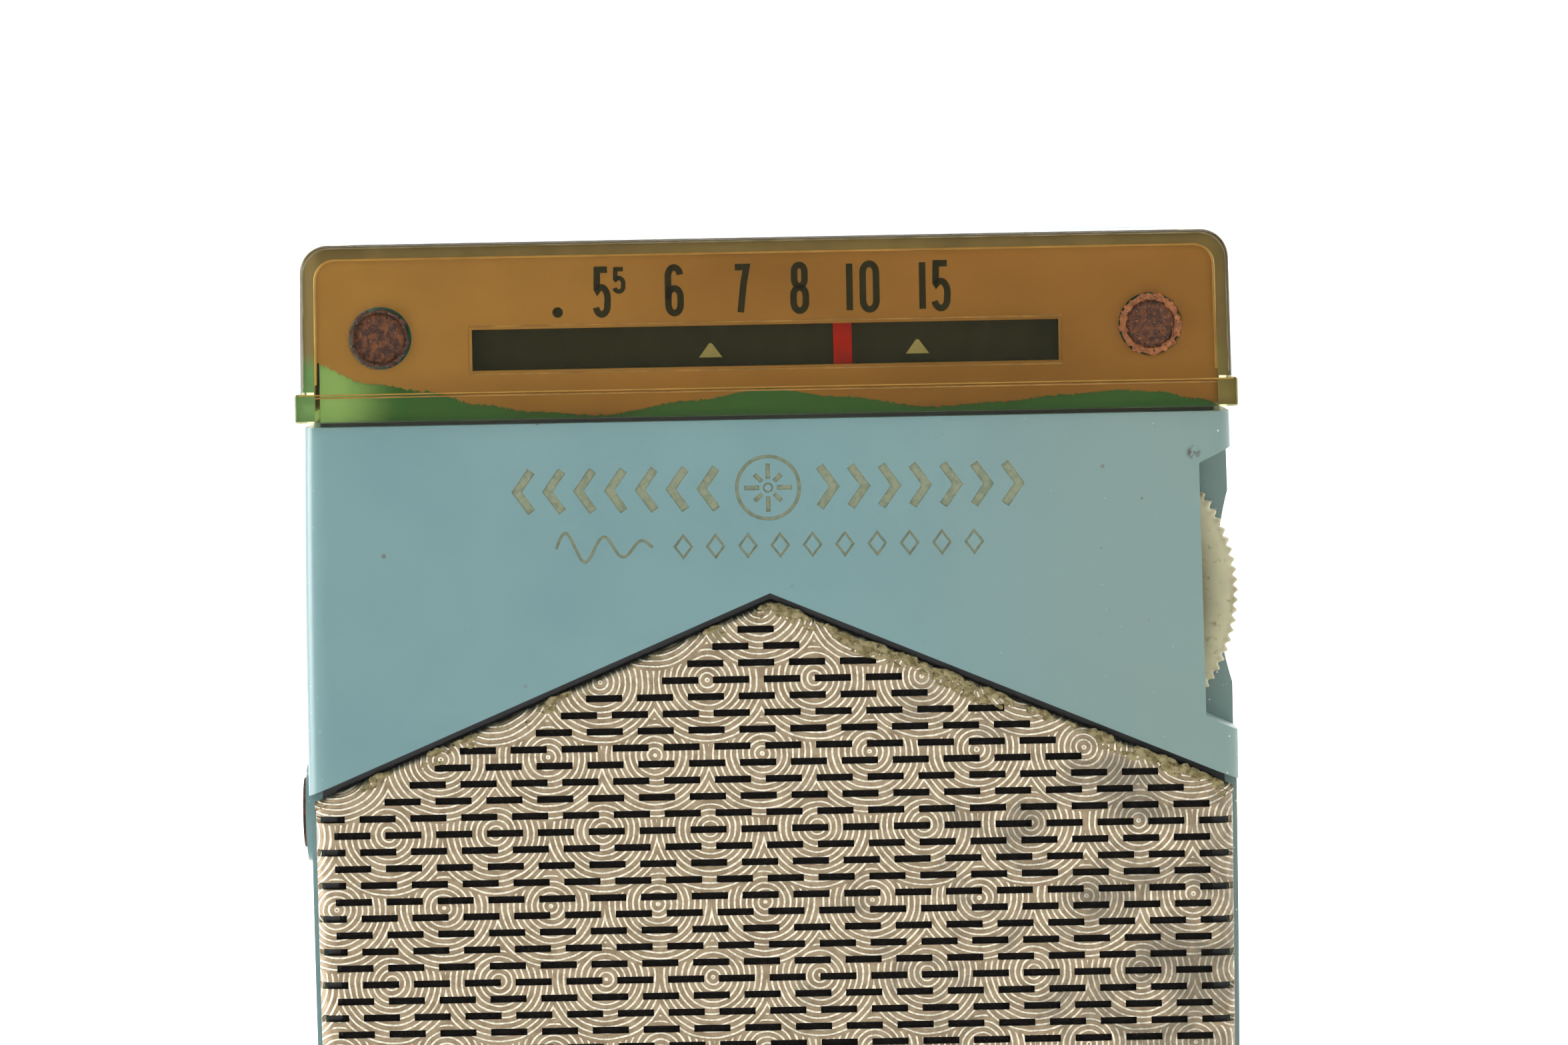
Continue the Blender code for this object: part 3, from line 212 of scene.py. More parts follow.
def turned(name, centre, profile, sides=64, axis="Y", closed=False):
    """A shape turned about the X, Y or Z line through centre: profile is (radius, place on the axis)."""
    bm = bmesh.new()
    rings = []
    for radius, along in profile:
        ring = []
        for step in range(sides):
            angle = 2 * math.pi * step / sides
            across = (max(radius, 1e-6) * math.cos(angle), max(radius, 1e-6) * math.sin(angle))
            if axis == "Y":
                ring.append((centre[0] + across[0], along, centre[2] + across[1]))
            elif axis == "X":
                ring.append((along, centre[1] + across[0], centre[2] + across[1]))
            else:
                ring.append((centre[0] + across[0], centre[1] + across[1], along))
        rings.append(ring)
    lofted(bm, rings, closed_along=closed)
    bmesh.ops.remove_doubles(bm, verts=bm.verts, dist=3e-6)
    return object_from(bm, name)


def plate(name, outlines, front_y, back_y):
    """A flat piece facing -Y between two depths: closed (x, z) outlines, inner ones being holes."""
    curve = bpy.data.curves.new(name, "CURVE")
    curve.dimensions = "2D"
    curve.fill_mode = "BOTH"
    curve.extrude = (back_y - front_y) / 2
    for outline in outlines:
        spline = curve.splines.new("POLY")
        spline.points.add(len(outline) - 1)
        for point, (x, z) in zip(spline.points, outline):
            point.co = (x, z, 0, 1)
        spline.use_cyclic_u = True
    flat = bpy.data.objects.new(name, curve)
    bpy.context.scene.collection.objects.link(flat)
    bpy.context.view_layer.update()
    mesh = bpy.data.meshes.new_from_object(flat.evaluated_get(bpy.context.evaluated_depsgraph_get()))
    bpy.data.objects.remove(flat, do_unlink=True)
    bm = bmesh.new()
    bm.from_mesh(mesh)
    bmesh.ops.remove_doubles(bm, verts=bm.verts, dist=1e-6)
    bmesh.ops.rotate(bm, cent=(0, 0, 0), matrix=Matrix.Rotation(math.pi / 2, 3, "X"), verts=bm.verts)
    bmesh.ops.translate(bm, vec=(0, (front_y + back_y) / 2, 0), verts=bm.verts)
    return object_from(bm, name)


def round_rim(obj, y, width, segments=6):
    """Round the edges that lie in the plane of that y."""
    bm = bmesh.new()
    bm.from_mesh(obj.data)
    rim = []
    for edge in bm.edges:
        if all(abs(vert.co.y - y) < 1e-5 for vert in edge.verts) and edge.calc_face_angle(0) > 0.5:
            rim.append(edge)
    bmesh.ops.bevel(bm, geom=rim, offset=width, segments=segments, profile=0.5, affect="EDGES")
    bm.to_mesh(obj.data)
    bm.free()
    return obj


def combine(obj, operation, tools, solver="EXACT"):
    """Apply Booleans with those tools, which are then removed."""
    for tool in tools:
        step = obj.modifiers.new(tool.name, "BOOLEAN")
        step.operation = operation
        step.solver = solver
        step.object = tool
    bpy.context.view_layer.update()
    made = bpy.data.meshes.new_from_object(obj.evaluated_get(bpy.context.evaluated_depsgraph_get()))
    obj.modifiers.clear()
    obj.data = made
    for tool in tools:
        bpy.data.objects.remove(tool, do_unlink=True)
    return obj


def cut(obj, *tools):
    return combine(obj, "DIFFERENCE", tools)


def join(obj, *tools):
    return combine(obj, "UNION", tools)


def tube(name, points, radius, sides=10, closed=False):
    """A round wire along points, swept without twisting."""
    places = [Vector(point) for point in points]
    count = len(places)
    rings = []
    side = None
    for index, place in enumerate(places):
        before = places[index - 1] if index or closed else place
        after = places[(index + 1) % count] if index < count - 1 or closed else place
        along = (after - before).normalized()
        if side is None:
            side = along.orthogonal().normalized()
        side = (side - along * side.dot(along)).normalized()
        up = along.cross(side)
        ring = []
        for step in range(sides):
            angle = 2 * math.pi * step / sides
            ring.append(place + (side * math.cos(angle) + up * math.sin(angle)) * radius)
        rings.append(ring)
    bm = bmesh.new()
    lofted(bm, rings, closed_along=closed)
    return object_from(bm, name)


def smooth_path(points, steps=8):
    """A Catmull-Rom curve through the points."""
    ends = [Vector(points[0]) * 2 - Vector(points[1])] + [Vector(point) for point in points]
    ends.append(Vector(points[-1]) * 2 - Vector(points[-2]))
    path = []
    for index in range(1, len(ends) - 2):
        before, start, stop, after = ends[index - 1:index + 3]
        for step in range(steps):
            t = step / steps
            path.append(0.5 * ((2 * start) + (stop - before) * t
                               + (2 * before - 5 * start + 4 * stop - after) * t * t
                               + (3 * start - before - 3 * stop + after) * t ** 3))
    path.append(Vector(points[-1]))
    return path


def merged(name, objects):
    """One object from several, which are removed."""
    bm = bmesh.new()
    for obj in objects:
        bm.from_mesh(obj.data)
        bpy.data.objects.remove(obj, do_unlink=True)
    mesh = bpy.data.meshes.new(name)
    bm.to_mesh(mesh)
    bm.free()
    obj = bpy.data.objects.new(name, mesh)
    bpy.context.scene.collection.objects.link(obj)
    return obj


def roughened(obj, size, depth, seed=0.0):
    """Move each vertex along its normal by noise of that size, for rust, crust and grime."""
    for vert in obj.data.vertices:
        amount = noise.noise(vert.co / size + Vector((seed, seed, seed)))
        vert.co += vert.normal * amount * depth
    return obj


def stroke(bm, points, width, front_y, back_y, closed=False):
    """A flat stroke of even width along (x, z) points, mitred at its corners."""
    places = [Vector(point) for point in points]
    count = len(places)
    rings = []
    for index, place in enumerate(places):
        before = places[index - 1] if index or closed else None
        after = places[(index + 1) % count] if index < count - 1 or closed else None
        first = (place - before).normalized() if before else None
        second = (after - place).normalized() if after else first
        first = first or second
        normal = Vector((-(first + second).y, (first + second).x)).normalized()
        reach = width / 2 / max(0.4, normal.dot(Vector((-first.y, first.x))))
        left = place + normal * reach
        right = place - normal * reach
        rings.append([(left.x, front_y, left.y), (right.x, front_y, right.y),
                      (right.x, back_y, right.y), (left.x, back_y, left.y)])
    lofted(bm, rings, closed_along=closed)


def piece(obj, body, material, stands_for=(), angle=38, weighted=False):
    """Finish an object as a visible piece that rides on a body."""
    obj.data.materials.clear()
    obj.data.materials.append(material)
    smooth(obj, angle)
    if weighted:
        step = obj.modifiers.new("even_shading", "WEIGHTED_NORMAL")
        step.keep_sharp = True
    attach(obj, body)
    if stands_for:
        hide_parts(*stands_for)
    return obj


# ---------------------------------------------------------------- outlines, as in the CAD design
def half_width(z):
    radius = BOW_RADIUS_ABOVE if z > WIDEST_Z else BOW_RADIUS_BELOW
    return CASE_HALF_WIDTH - (z - WIDEST_Z) ** 2 / (2 * radius)


def arc(centre_x, centre_z, radius, start, end, steps):
    points = []
    for step in range(steps + 1):
        angle = math.radians(start + (end - start) * step / steps)
        points.append((centre_x + radius * math.cos(angle), centre_z + radius * math.sin(angle)))
    return points


def mirrored(right_side):
    return right_side + [(-x, z) for x, z in reversed(right_side)]


def case_outline(inset, low, high, low_corner, high_corner, side_steps=28):
    right = arc(half_width(low) - inset - low_corner, low + low_corner, low_corner, -90, 0, 10)
    side_low = low + low_corner
    side_high = high - high_corner
    for step in range(1, side_steps):
        z = side_low + (side_high - side_low) * step / side_steps
        right.append((half_width(z) - inset, z))
    right += arc(half_width(high) - inset - high_corner, side_high, high_corner, 0, 90, 8)
    return mirrored(right)


def rectangle(low_x, low_z, high_x, high_z):
    return [(low_x, low_z), (high_x, low_z), (high_x, high_z), (low_x, high_z)]


def circle(centre, radius, sides=48):
    return arc(centre[0], centre[1], radius, 0, 360 - 360 / sides, sides - 1)


def chevron_z(x, rise=0.0):
    return CHEVRON_APEX_Z - abs(x) * CHEVRON_SLOPE + rise


def above_chevron(rise, top=0.200):
    side = chevron_z(FAR, rise)
    return [(-FAR, side), (0, chevron_z(0, rise)), (FAR, side), (FAR, top), (-FAR, top)]


def below_chevron(rise):
    side = chevron_z(FAR, rise)
    return [(-FAR, -0.010), (FAR, -0.010), (FAR, side), (0, chevron_z(0, rise)), (-FAR, side)]


def cap_half_width(z):
    share = (z - cap_low.z) / (cap_high.z - cap_low.z)
    return CAP_HALF_WIDTH_BASE + (CAP_HALF_WIDTH_TOP - CAP_HALF_WIDTH_BASE) * share


def cap_outline(inset, low, steps=12):
    top = cap_high.z - inset
    corner = CAP_CORNER - inset * 0.5
    right = [(cap_half_width(low) - inset, low)]
    right += arc(cap_half_width(top) - inset - corner, top - corner, corner, 0, 90, steps)
    return mirrored(right)


# ---------------------------------------------------------------- materials
class Shade:
    """A node material being put together. Positions are in millimetres of the part's own frame."""

    def __init__(self, name):
        self.material = bpy.data.materials.new(name)
        self.material.use_nodes = True
        self.tree = self.material.node_tree
        self.shader = self.tree.nodes["Principled BSDF"]
        place = self.node("ShaderNodeTexCoord").outputs["Object"]
        self.place = self.vector("SCALE", place, scale=1000.0)
        split = self.node("ShaderNodeSeparateXYZ")
        self.link(self.place, split.inputs[0])
        self.x, self.y, self.z = split.outputs

    def node(self, kind, **settings):
        made = self.tree.nodes.new(kind)
        for key, value in settings.items():
            setattr(made, key, value)
        return made

    def link(self, source, target):
        """Feed a socket from another socket, or give it a plain value."""
        if isinstance(source, bpy.types.NodeSocket):
            self.tree.links.new(source, target)
        elif isinstance(source, (tuple, list)) and len(source) == 3 and target.type == "RGBA":
            target.default_value = (*source, 1.0)
        else:
            target.default_value = source

    def vector(self, operation, first, second=None, scale=None):
        made = self.node("ShaderNodeVectorMath", operation=operation)
        self.link(first, made.inputs[0])
        if second is not None:
            self.link(second, made.inputs[1])
        if scale is not None:
            made.inputs["Scale"].default_value = scale
        return made.outputs[0]

    def math(self, operation, first, second=None, clamp=False):
        made = self.node("ShaderNodeMath", operation=operation, use_clamp=clamp)
        self.link(first, made.inputs[0])
        if second is not None:
            self.link(second, made.inputs[1])
        return made.outputs[0]

    def times(self, first, second):
        return self.math("MULTIPLY", first, second)

    def plus(self, first, second):
        return self.math("ADD", first, second)

    def minus(self, first, second):
        return self.math("SUBTRACT", first, second)

    def noise(self, size, detail=3.0, stretch=(1, 1, 1), roughness=0.55, shift=0.0):
        """Noise from 0 to 1 with features of about that size in millimetres."""
        where = self.vector("MULTIPLY", self.place, tuple(s / size for s in stretch))
        if shift:
            where = self.vector("ADD", where, (shift, shift * 1.7, shift * 0.6))
        made = self.node("ShaderNodeTexNoise")
        made.inputs["Scale"].default_value = 1.0
        made.inputs["Detail"].default_value = detail
        made.inputs["Roughness"].default_value = roughness
        self.link(where, made.inputs["Vector"])
        return made.outputs["Fac"]

    def cells(self, size, feature="F1", stretch=(1, 1, 1)):
        made = self.node("ShaderNodeTexVoronoi", feature=feature)
        made.inputs["Scale"].default_value = 1.0
        self.link(self.vector("MULTIPLY", self.place, tuple(s / size for s in stretch)),
                  made.inputs["Vector"])
        return made

    def specks(self, spacing, reach, share):
        """Small round specks: one cell in so many has one, of that radius as a share of the spacing."""
        made = self.cells(spacing)
        near = self.step(made.outputs["Distance"], reach, reach * 0.6)
        return self.math("MULTIPLY", near, self.step(made.outputs["Color"], share, share + 0.04))

    def length(self, across, height):
        squares = self.plus(self.times(across, across), self.times(height, height))
        return self.math("SQRT", squares)

    def spot_distance(self, x, z):
        """Distance in millimetres from a line along Y."""
        across = self.minus(self.x, x)
        return self.length(across, self.minus(self.z, z))

    def step(self, value, low, high):
        """0 below low and 1 above high, smooth between; low may be the larger."""
        made = self.node("ShaderNodeMapRange", interpolation_type="SMOOTHSTEP")
        self.link(value, made.inputs["Value"])
        made.inputs["From Min"].default_value = min(low, high)
        made.inputs["From Max"].default_value = max(low, high)
        made.inputs["To Min"].default_value = 0.0 if low < high else 1.0
        made.inputs["To Max"].default_value = 1.0 if low < high else 0.0
        return made.outputs["Result"]

    def blend(self, factor, first, second, mode="MIX"):
        made = self.node("ShaderNodeMix", data_type="RGBA", blend_type=mode)
        sockets = [s for s in made.inputs if s.enabled]
        self.link(factor, sockets[0])
        self.link(first, sockets[1])
        self.link(second, sockets[2])
        return [s for s in made.outputs if s.enabled][0]

    def between(self, factor, low, high):
        """A number that runs from low to high as factor runs from 0 to 1."""
        made = self.node("ShaderNodeMapRange")
        self.link(factor, made.inputs["Value"])
        made.inputs["To Min"].default_value = low
        made.inputs["To Max"].default_value = high
        return made.outputs["Result"]

    def bump(self, height, depth):
        """Relief of that depth in millimetres for a height from 0 to 1."""
        made = self.node("ShaderNodeBump")
        made.inputs["Strength"].default_value = 1.0
        made.inputs["Distance"].default_value = depth * MM
        self.link(height, made.inputs["Height"])
        self.link(made.outputs["Normal"], self.shader.inputs["Normal"])

    def set(self, base, roughness, **values):
        """Finish the material with its colour, its roughness and any other values."""
        for key, value in dict(Base_Color=base, Roughness=roughness, **values).items():
            self.link(value, self.shader.inputs[key.replace("_", " ")])
        return self.material


def linear(red, green, blue):
    """A scene-linear colour from a display colour in 0 to 255."""
    made = []
    for value in (red, green, blue):
        share = value / 255
        made.append(share / 12.92 if share < 0.04045 else ((share + 0.055) / 1.055) ** 2.4)
    return tuple(made)


SMOOTHEST = 0.28           # a blend across 0.274 leaves a false edge in denoised renders


def blue_plastic():
    """Glossy pale blue moulding: dusty towards the right, with specks and fine scratches; with painted
    shade under the dial cap, painted light at its left end, a painted shadow line below the cap and painted
    shade in the gap under the panel's chevron edge.
    """
    s = Shade("pale_blue_moulding")
    base = s.blend(s.step(s.noise(14, 2), 0.3, 0.7), linear(111, 147, 149), linear(117, 152, 153))
    right = s.step(s.x, 2.0, 36.0)
    film = s.times(right, s.between(s.noise(12, 1), 0.6, 1.0))
    base = s.blend(s.times(film, 0.62), base, linear(132, 148, 134))
    dust = s.times(s.specks(0.62, 0.17, 0.52), s.between(right, 0.25, 1.0))
    base = s.blend(dust, base, linear(214, 220, 210))
    brown = s.times(s.specks(1.9, 0.13, 0.60), s.step(s.noise(9, 2, shift=5), 0.42, 0.60))
    base = s.blend(s.times(brown, 0.8), base, linear(96, 78, 52))
    stain = s.step(s.spot_distance(36.2, 123.0), 0.75, 0.25)
    stain = s.times(stain, s.step(s.noise(0.5, 4), 0.38, 0.56))
    base = s.blend(s.times(stain, s.step(s.y, -10.0, -13.0)), base, linear(70, 56, 40))
    # painted shade: the shell's face under the dial cap is painted dark green, and painted light lightens
    # it towards the left end
    painted_shade_under_cap = s.times(s.step(s.z, 126.55, 126.75), s.step(s.y, -4.4, -4.8))
    shade = s.blend(s.step(s.x, -31.0, -36.8), (0.016, 0.225, 0.155), (0.52, 1.0, 1.0))
    base = s.blend(painted_shade_under_cap, base, shade)
    # painted shadow: a dark band on the panel just below the cap's lip
    foot = s.times(s.step(s.z, 126.50, 126.54), s.step(s.z, 126.98, 126.88))
    base = s.blend(s.times(foot, s.step(s.y, -4.6, -5.0)), base, linear(30, 36, 24))
    # painted shade: the lower front wall seen in the gap under the panel's chevron edge is painted nearly
    # black
    drop = s.plus(s.z, s.times(s.math("ABSOLUTE", s.x), CHEVRON_SLOPE))
    below = s.step(drop, CHEVRON_APEX_Z / MM + 0.06, CHEVRON_APEX_Z / MM - 0.06)
    shaded_recess = s.times(below, s.step(s.y, -17.85, -17.3))
    front = s.times(shaded_recess, s.step(s.y, -13.6, -13.9))
    base = s.blend(front, base, linear(24, 27, 22))
    scratch = s.step(s.noise(0.5, 2, stretch=(1, 1, 0.05), shift=7), 0.70, 0.78)
    worn = s.math("MAXIMUM", film, s.times(scratch, 0.5))
    s.bump(s.noise(1.2, 4), 0.010)
    return s.set(base, s.between(worn, SMOOTHEST, 0.50), Coat_Weight=0.15, Coat_Roughness=0.12)


def ornament_paint():
    s = Shade("khaki_engraving_fill")
    worn = s.step(s.noise(0.5, 4), 0.35, 0.7)
    base = s.blend(worn, linear(138, 145, 118), linear(118, 128, 104))
    base = s.blend(s.step(s.noise(0.22, 2, shift=4), 0.70, 0.76), base, linear(88, 80, 58))
    s.bump(s.noise(0.15, 3), 0.02)
    return s.set(base, 0.7)


CAP_SURFACE_TINT = (0.93, 0.90, 0.64)
CAP_IOR = 1.49
CAP_GLOSS_LOSS = 0.029          # taken off the reflection, as the studio behind the camera is dim


def clear_cap():
    """Yellowed clear plastic: tinted see-through with a gloss that grows towards grazing angles."""
    s = Shade("yellowed_clear_plastic")
    out = s.tree.nodes["Material Output"]
    s.tree.nodes.remove(s.shader)
    clear = s.node("ShaderNodeBsdfTransparent")
    cloud = s.step(s.noise(9, 3), 0.3, 0.7)
    deeper = tuple(share * 0.975 for share in CAP_SURFACE_TINT)
    s.link(s.blend(cloud, CAP_SURFACE_TINT, deeper), clear.inputs["Color"])
    gloss = s.node("ShaderNodeBsdfGlossy")
    gloss.inputs["Color"].default_value = (1, 1, 1, 1)
    haze = s.between(s.step(s.noise(3, 4), 0.4, 0.7), 0.20, 0.27)
    s.link(haze, gloss.inputs["Roughness"])
    fresnel = s.node("ShaderNodeFresnel")
    fresnel.inputs["IOR"].default_value = CAP_IOR
    mix = s.node("ShaderNodeMixShader")
    s.link(s.math("SUBTRACT", fresnel.outputs[0], CAP_GLOSS_LOSS, clamp=True), mix.inputs[0])
    s.link(clear.outputs[0], mix.inputs[1])
    s.link(gloss.outputs[0], mix.inputs[2])
    s.link(mix.outputs[0], out.inputs["Surface"])
    return s.material


def gold_paint():
    """Coppery gold paint on the cap's inner face, faintly streaked and cloudy, with painted light making it
    lighter towards the left.
    """
    s = Shade("gold_back_paint")
    cloud = s.step(s.noise(11, 4, stretch=(0.6, 1, 1)), 0.3, 0.72)
    base = s.blend(cloud, (0.56, 0.265, 0.168), (0.48, 0.230, 0.140))
    streak = s.step(s.noise(2.2, 3, stretch=(0.12, 1, 1), shift=2), 0.35, 0.75)
    base = s.blend(s.times(streak, 0.35), base, (0.60, 0.285, 0.18))
    base = s.blend(s.step(s.noise(0.25, 2, shift=9), 0.70, 0.78), base, (0.32, 0.15, 0.10))
    # painted light: lighter and paler towards the left side
    base = s.blend(s.step(s.x, 5.0, -38.0), base, s.blend(cloud, (0.68, 0.375, 0.270),
                                                          (0.60, 0.330, 0.235)))
    low = s.step(s.z, 132.0, 127.5)
    base = s.blend(s.times(low, 0.55), base, (0.34, 0.155, 0.075))
    s.bump(s.noise(0.12, 2), 0.010)
    return s.set(base, s.between(cloud, 0.42, 0.55), Metallic=0.25)


def cap_rim_tint():
    s = Shade("olive_cap_rim")
    base = s.blend(s.step(s.noise(4, 3), 0.3, 0.7), (0.27, 0.185, 0.090), (0.20, 0.135, 0.062))
    # painted highlight: lighter along the left edge
    base = s.blend(s.step(s.x, -37.6, -38.6), base, (0.36, 0.27, 0.17))
    flaked = s.blend(s.step(s.x, -10.0, 10.0), (0.20, 0.44, 0.25), (0.24, 0.195, 0.085))
    foot = s.step(s.z, 133.2, 131.2)
    base = s.blend(foot, base, flaked)
    return s.set(base, 0.4)


def plain_print(name, size, low, high, light, dark, roughness, metallic=0.0):
    """A thin line or a printed mark: two tones of one colour."""
    s = Shade(name)
    base = s.blend(s.step(s.noise(size, 3), low, high), light, dark)
    return s.set(base, roughness, Metallic=metallic)


# painted highlight: a bright gold line where the paint turns and along the lip's top
def gold_highlight_line():
    return plain_print("gold_edge_highlight", 3, 0.3, 0.7, (0.95, 0.58, 0.24), (0.74, 0.43, 0.17), 0.35, 0.3)


# painted highlight: a pale line along the cap's outer edge
def pale_highlight_line():
    return plain_print("pale_edge_highlight", 2.5, 0.3, 0.7, (0.62, 0.56, 0.60), (0.36, 0.31, 0.26), 0.3)


def frame_line():
    return plain_print("window_frame_line", 2, 0.3, 0.7, (0.72, 0.42, 0.20), (0.48, 0.27, 0.13), 0.4, 0.2)


def printed_black():
    return plain_print("black_print", 0.3, 0.4, 0.75, (0.006, 0.005, 0.004), (0.022, 0.016, 0.010), 0.7)


def dial_black():
    s = Shade("dial_black_paint")
    base = s.blend(s.step(s.noise(1.5, 4), 0.35, 0.75), (0.010, 0.009, 0.010), (0.022, 0.020, 0.022))
    base = s.blend(s.specks(0.9, 0.10, 0.55), base, (0.30, 0.28, 0.26))
    s.bump(s.noise(0.3, 3), 0.01)
    return s.set(base, 0.6)


def dial_cream():
    return plain_print("cream_print", 0.4, 0.35, 0.7, (1.0, 0.90, 1.0), (0.92, 0.82, 0.92), 0.6)


def pointer_red():
    s = Shade("pointer_red_gloss")
    fade = s.step(s.noise(1.8, 3, stretch=(1, 1, 0.5)), 0.35, 0.7)
    base = s.blend(fade, (1.0, 0.004, 0.006), (0.78, 0.003, 0.005))
    return s.set(base, s.between(fade, 0.35, 0.5), Specular_IOR_Level=0.15)


def rust(name="rusty_rivet", dark=(0.055, 0.022, 0.012), bright=(0.24, 0.088, 0.034),
         fleck=(0.40, 0.20, 0.10)):
    s = Shade(name)
    flake = s.cells(0.45).outputs["Distance"]
    patch = s.step(s.noise(0.6, 5, roughness=0.7), 0.40, 0.66)
    base = s.blend(patch, dark, bright)
    base = s.blend(s.step(s.noise(0.20, 3, shift=8), 0.62, 0.72), base, fleck)
    base = s.blend(s.step(s.noise(0.26, 3, shift=15), 0.60, 0.72), base, (0.020, 0.012, 0.010))
    s.bump(s.plus(s.times(flake, 0.5), s.noise(0.25, 5, roughness=0.7)), 0.16)
    return s.set(base, s.between(patch, 0.6, 0.95), Metallic=0.1)


def wheel_plastic(name, centre_x, centre_z, radius):
    """Cream thumbwheel plastic, with dirt down in the knurls and along the rim."""
    s = Shade(name)
    reach = s.spot_distance(centre_x / MM, centre_z / MM)
    outer = radius / MM
    base = s.blend(s.step(s.noise(3, 4), 0.3, 0.7), linear(204, 198, 160), linear(192, 186, 150))
    valley = s.times(s.step(reach, outer - 0.9, outer - 0.45), s.step(reach, outer - 0.05, outer - 0.24))
    base = s.blend(s.times(valley, s.between(s.step(s.noise(2.2, 4), 0.35, 0.7), 0.08, 0.55)), base,
                   linear(112, 98, 66))
    base = s.blend(s.times(s.step(s.noise(0.7, 4, shift=5), 0.58, 0.75), 0.6), base, linear(120, 106, 74))
    s.bump(s.noise(0.5, 4), 0.02)
    return s.set(base, s.between(s.noise(1.1, 3), 0.35, 0.65))


# The engine-turned pattern: overlapping discs of fine grooves, in staggered rows.
DISC_PITCH_X = 9.14
DISC_PITCH_Z = 6.36
DISC_RADIUS = 5.5
DISC_ROW_Z = 104.35
DISC_ROW_X = 3.65
GROOVE_PITCH = 0.505


def disc_distance(s, row, x_shift):
    """Distance from the nearest disc centre of a row, where row is the row's number socket."""
    centre_z = s.plus(s.times(row, DISC_PITCH_Z), DISC_ROW_Z)
    odd = s.math("ABSOLUTE", s.math("MODULO", row, 2.0))
    start = s.plus(s.times(odd, DISC_PITCH_X / 2), DISC_ROW_X + x_shift)
    across = s.minus(s.x, start)
    turns = s.math("ROUND", s.math("DIVIDE", across, DISC_PITCH_X))
    across = s.minus(across, s.times(turns, DISC_PITCH_X))
    return s.length(across, s.minus(s.z, centre_z))


def grille_metal():
    """Pale gilt sheet cut with overlapping discs of fine rings, with painted highlights on the ring crests
    and painted shade in the grooves, tarnished and dirty in places.
    """
    s = Shade("engine_turned_gilt_metal")
    wobble = s.times(s.minus(s.noise(3.0, 2), 0.5), 0.35)
    rows = s.math("DIVIDE", s.minus(s.z, DISC_ROW_Z), DISC_PITCH_Z)
    upper_row = s.math("CEIL", rows)
    upper = disc_distance(s, upper_row, 0.0)
    lower = disc_distance(s, s.minus(upper_row, 1.0), 0.0)
    covered = s.math("LESS_THAN", upper, DISC_RADIUS)
    reach = s.plus(s.times(covered, upper),
                   s.times(s.minus(1.0, covered), lower))
    turns = s.math("DIVIDE", s.plus(reach, wobble), GROOVE_PITCH)
    wave = s.math("SINE", s.times(turns, 2 * math.pi))
    ridge = s.between(wave, 0.5, 1.0)
    fine = s.noise(0.12, 3, roughness=0.65)
    height = s.plus(s.times(ridge, 1.0), s.times(fine, 0.35))
    groove = s.step(ridge, 0.48, 0.14)
    crest = s.step(ridge, 0.62, 0.95)
    base = s.blend(s.step(s.noise(0.8, 4), 0.3, 0.7), linear(170, 152, 124), linear(142, 124, 98))
    # painted highlight: near-white patches on the ring crests
    painted_glint = s.between(s.step(s.noise(0.35, 3, shift=17), 0.36, 0.62), 0.55, 1.0)
    base = s.blend(s.times(crest, painted_glint), base, linear(255, 248, 226))
    # the grooves' copper tint, darkened with painted shade
    groove_copper_and_shade = s.blend(s.step(s.noise(2.2, 3, shift=4), 0.35, 0.65), linear(104, 72, 54), linear(66, 52, 38))
    base = s.blend(s.times(groove, 0.90), base, groove_copper_and_shade)
    right_low = s.plus(s.times(s.x, 0.0045), s.times(s.z, -0.0022))
    tarnish = s.step(s.plus(s.noise(5.5, 6, roughness=0.68), right_low), 0.37, 0.58)
    base = s.blend(s.times(tarnish, 0.55), base, linear(98, 94, 80))
    drop = s.plus(s.z, s.times(s.math("ABSOLUTE", s.x), CHEVRON_SLOPE))
    near_edge = s.step(drop, CHEVRON_APEX_Z / MM - 5.0, CHEVRON_APEX_Z / MM - 0.8)
    patchy = s.plus(s.times(near_edge, 0.16), s.noise(1.3, 6, roughness=0.7, shift=12))
    crud = s.step(patchy, 0.70, 0.80)
    green = s.blend(s.noise(0.6, 3, shift=3), linear(112, 102, 62), linear(164, 154, 118))
    base = s.blend(s.times(crud, 0.85), base, green)
    stain = s.step(s.plus(s.noise(2.4, 5, shift=21, roughness=0.7), right_low), 0.58, 0.72)
    base = s.blend(s.times(stain, 0.6), base, linear(120, 96, 44))
    dirty = s.math("MAXIMUM", s.times(tarnish, 0.5), s.math("MAXIMUM", crud, stain))
    s.bump(height, 0.14)
    return s.set(base, s.between(dirty, SMOOTHEST, 0.75), Metallic=s.between(dirty, 0.85, 0.15))


def grime():
    s = Shade("dried_grime")
    base = s.blend(s.step(s.noise(0.5, 4), 0.35, 0.65), linear(114, 102, 62), linear(168, 156, 114))
    base = s.blend(s.step(s.noise(0.25, 3, shift=6), 0.6, 0.7), base, linear(48, 40, 24))
    s.bump(s.noise(0.18, 4, roughness=0.7), 0.10)
    return s.set(base, 0.85)


def speaker_cloth():
    s = Shade("black_speaker_cloth")
    warp = s.math("SINE", s.times(s.x, 2 * math.pi / 0.32))
    weft = s.math("SINE", s.times(s.z, 2 * math.pi / 0.32))
    weave = s.between(s.times(warp, weft), 0.5, 1.0)
    base = s.blend(s.step(weave, 0.3, 0.9), (0.004, 0.004, 0.0035), (0.016, 0.014, 0.011))
    s.bump(weave, 0.06)
    return s.set(base, 0.95)


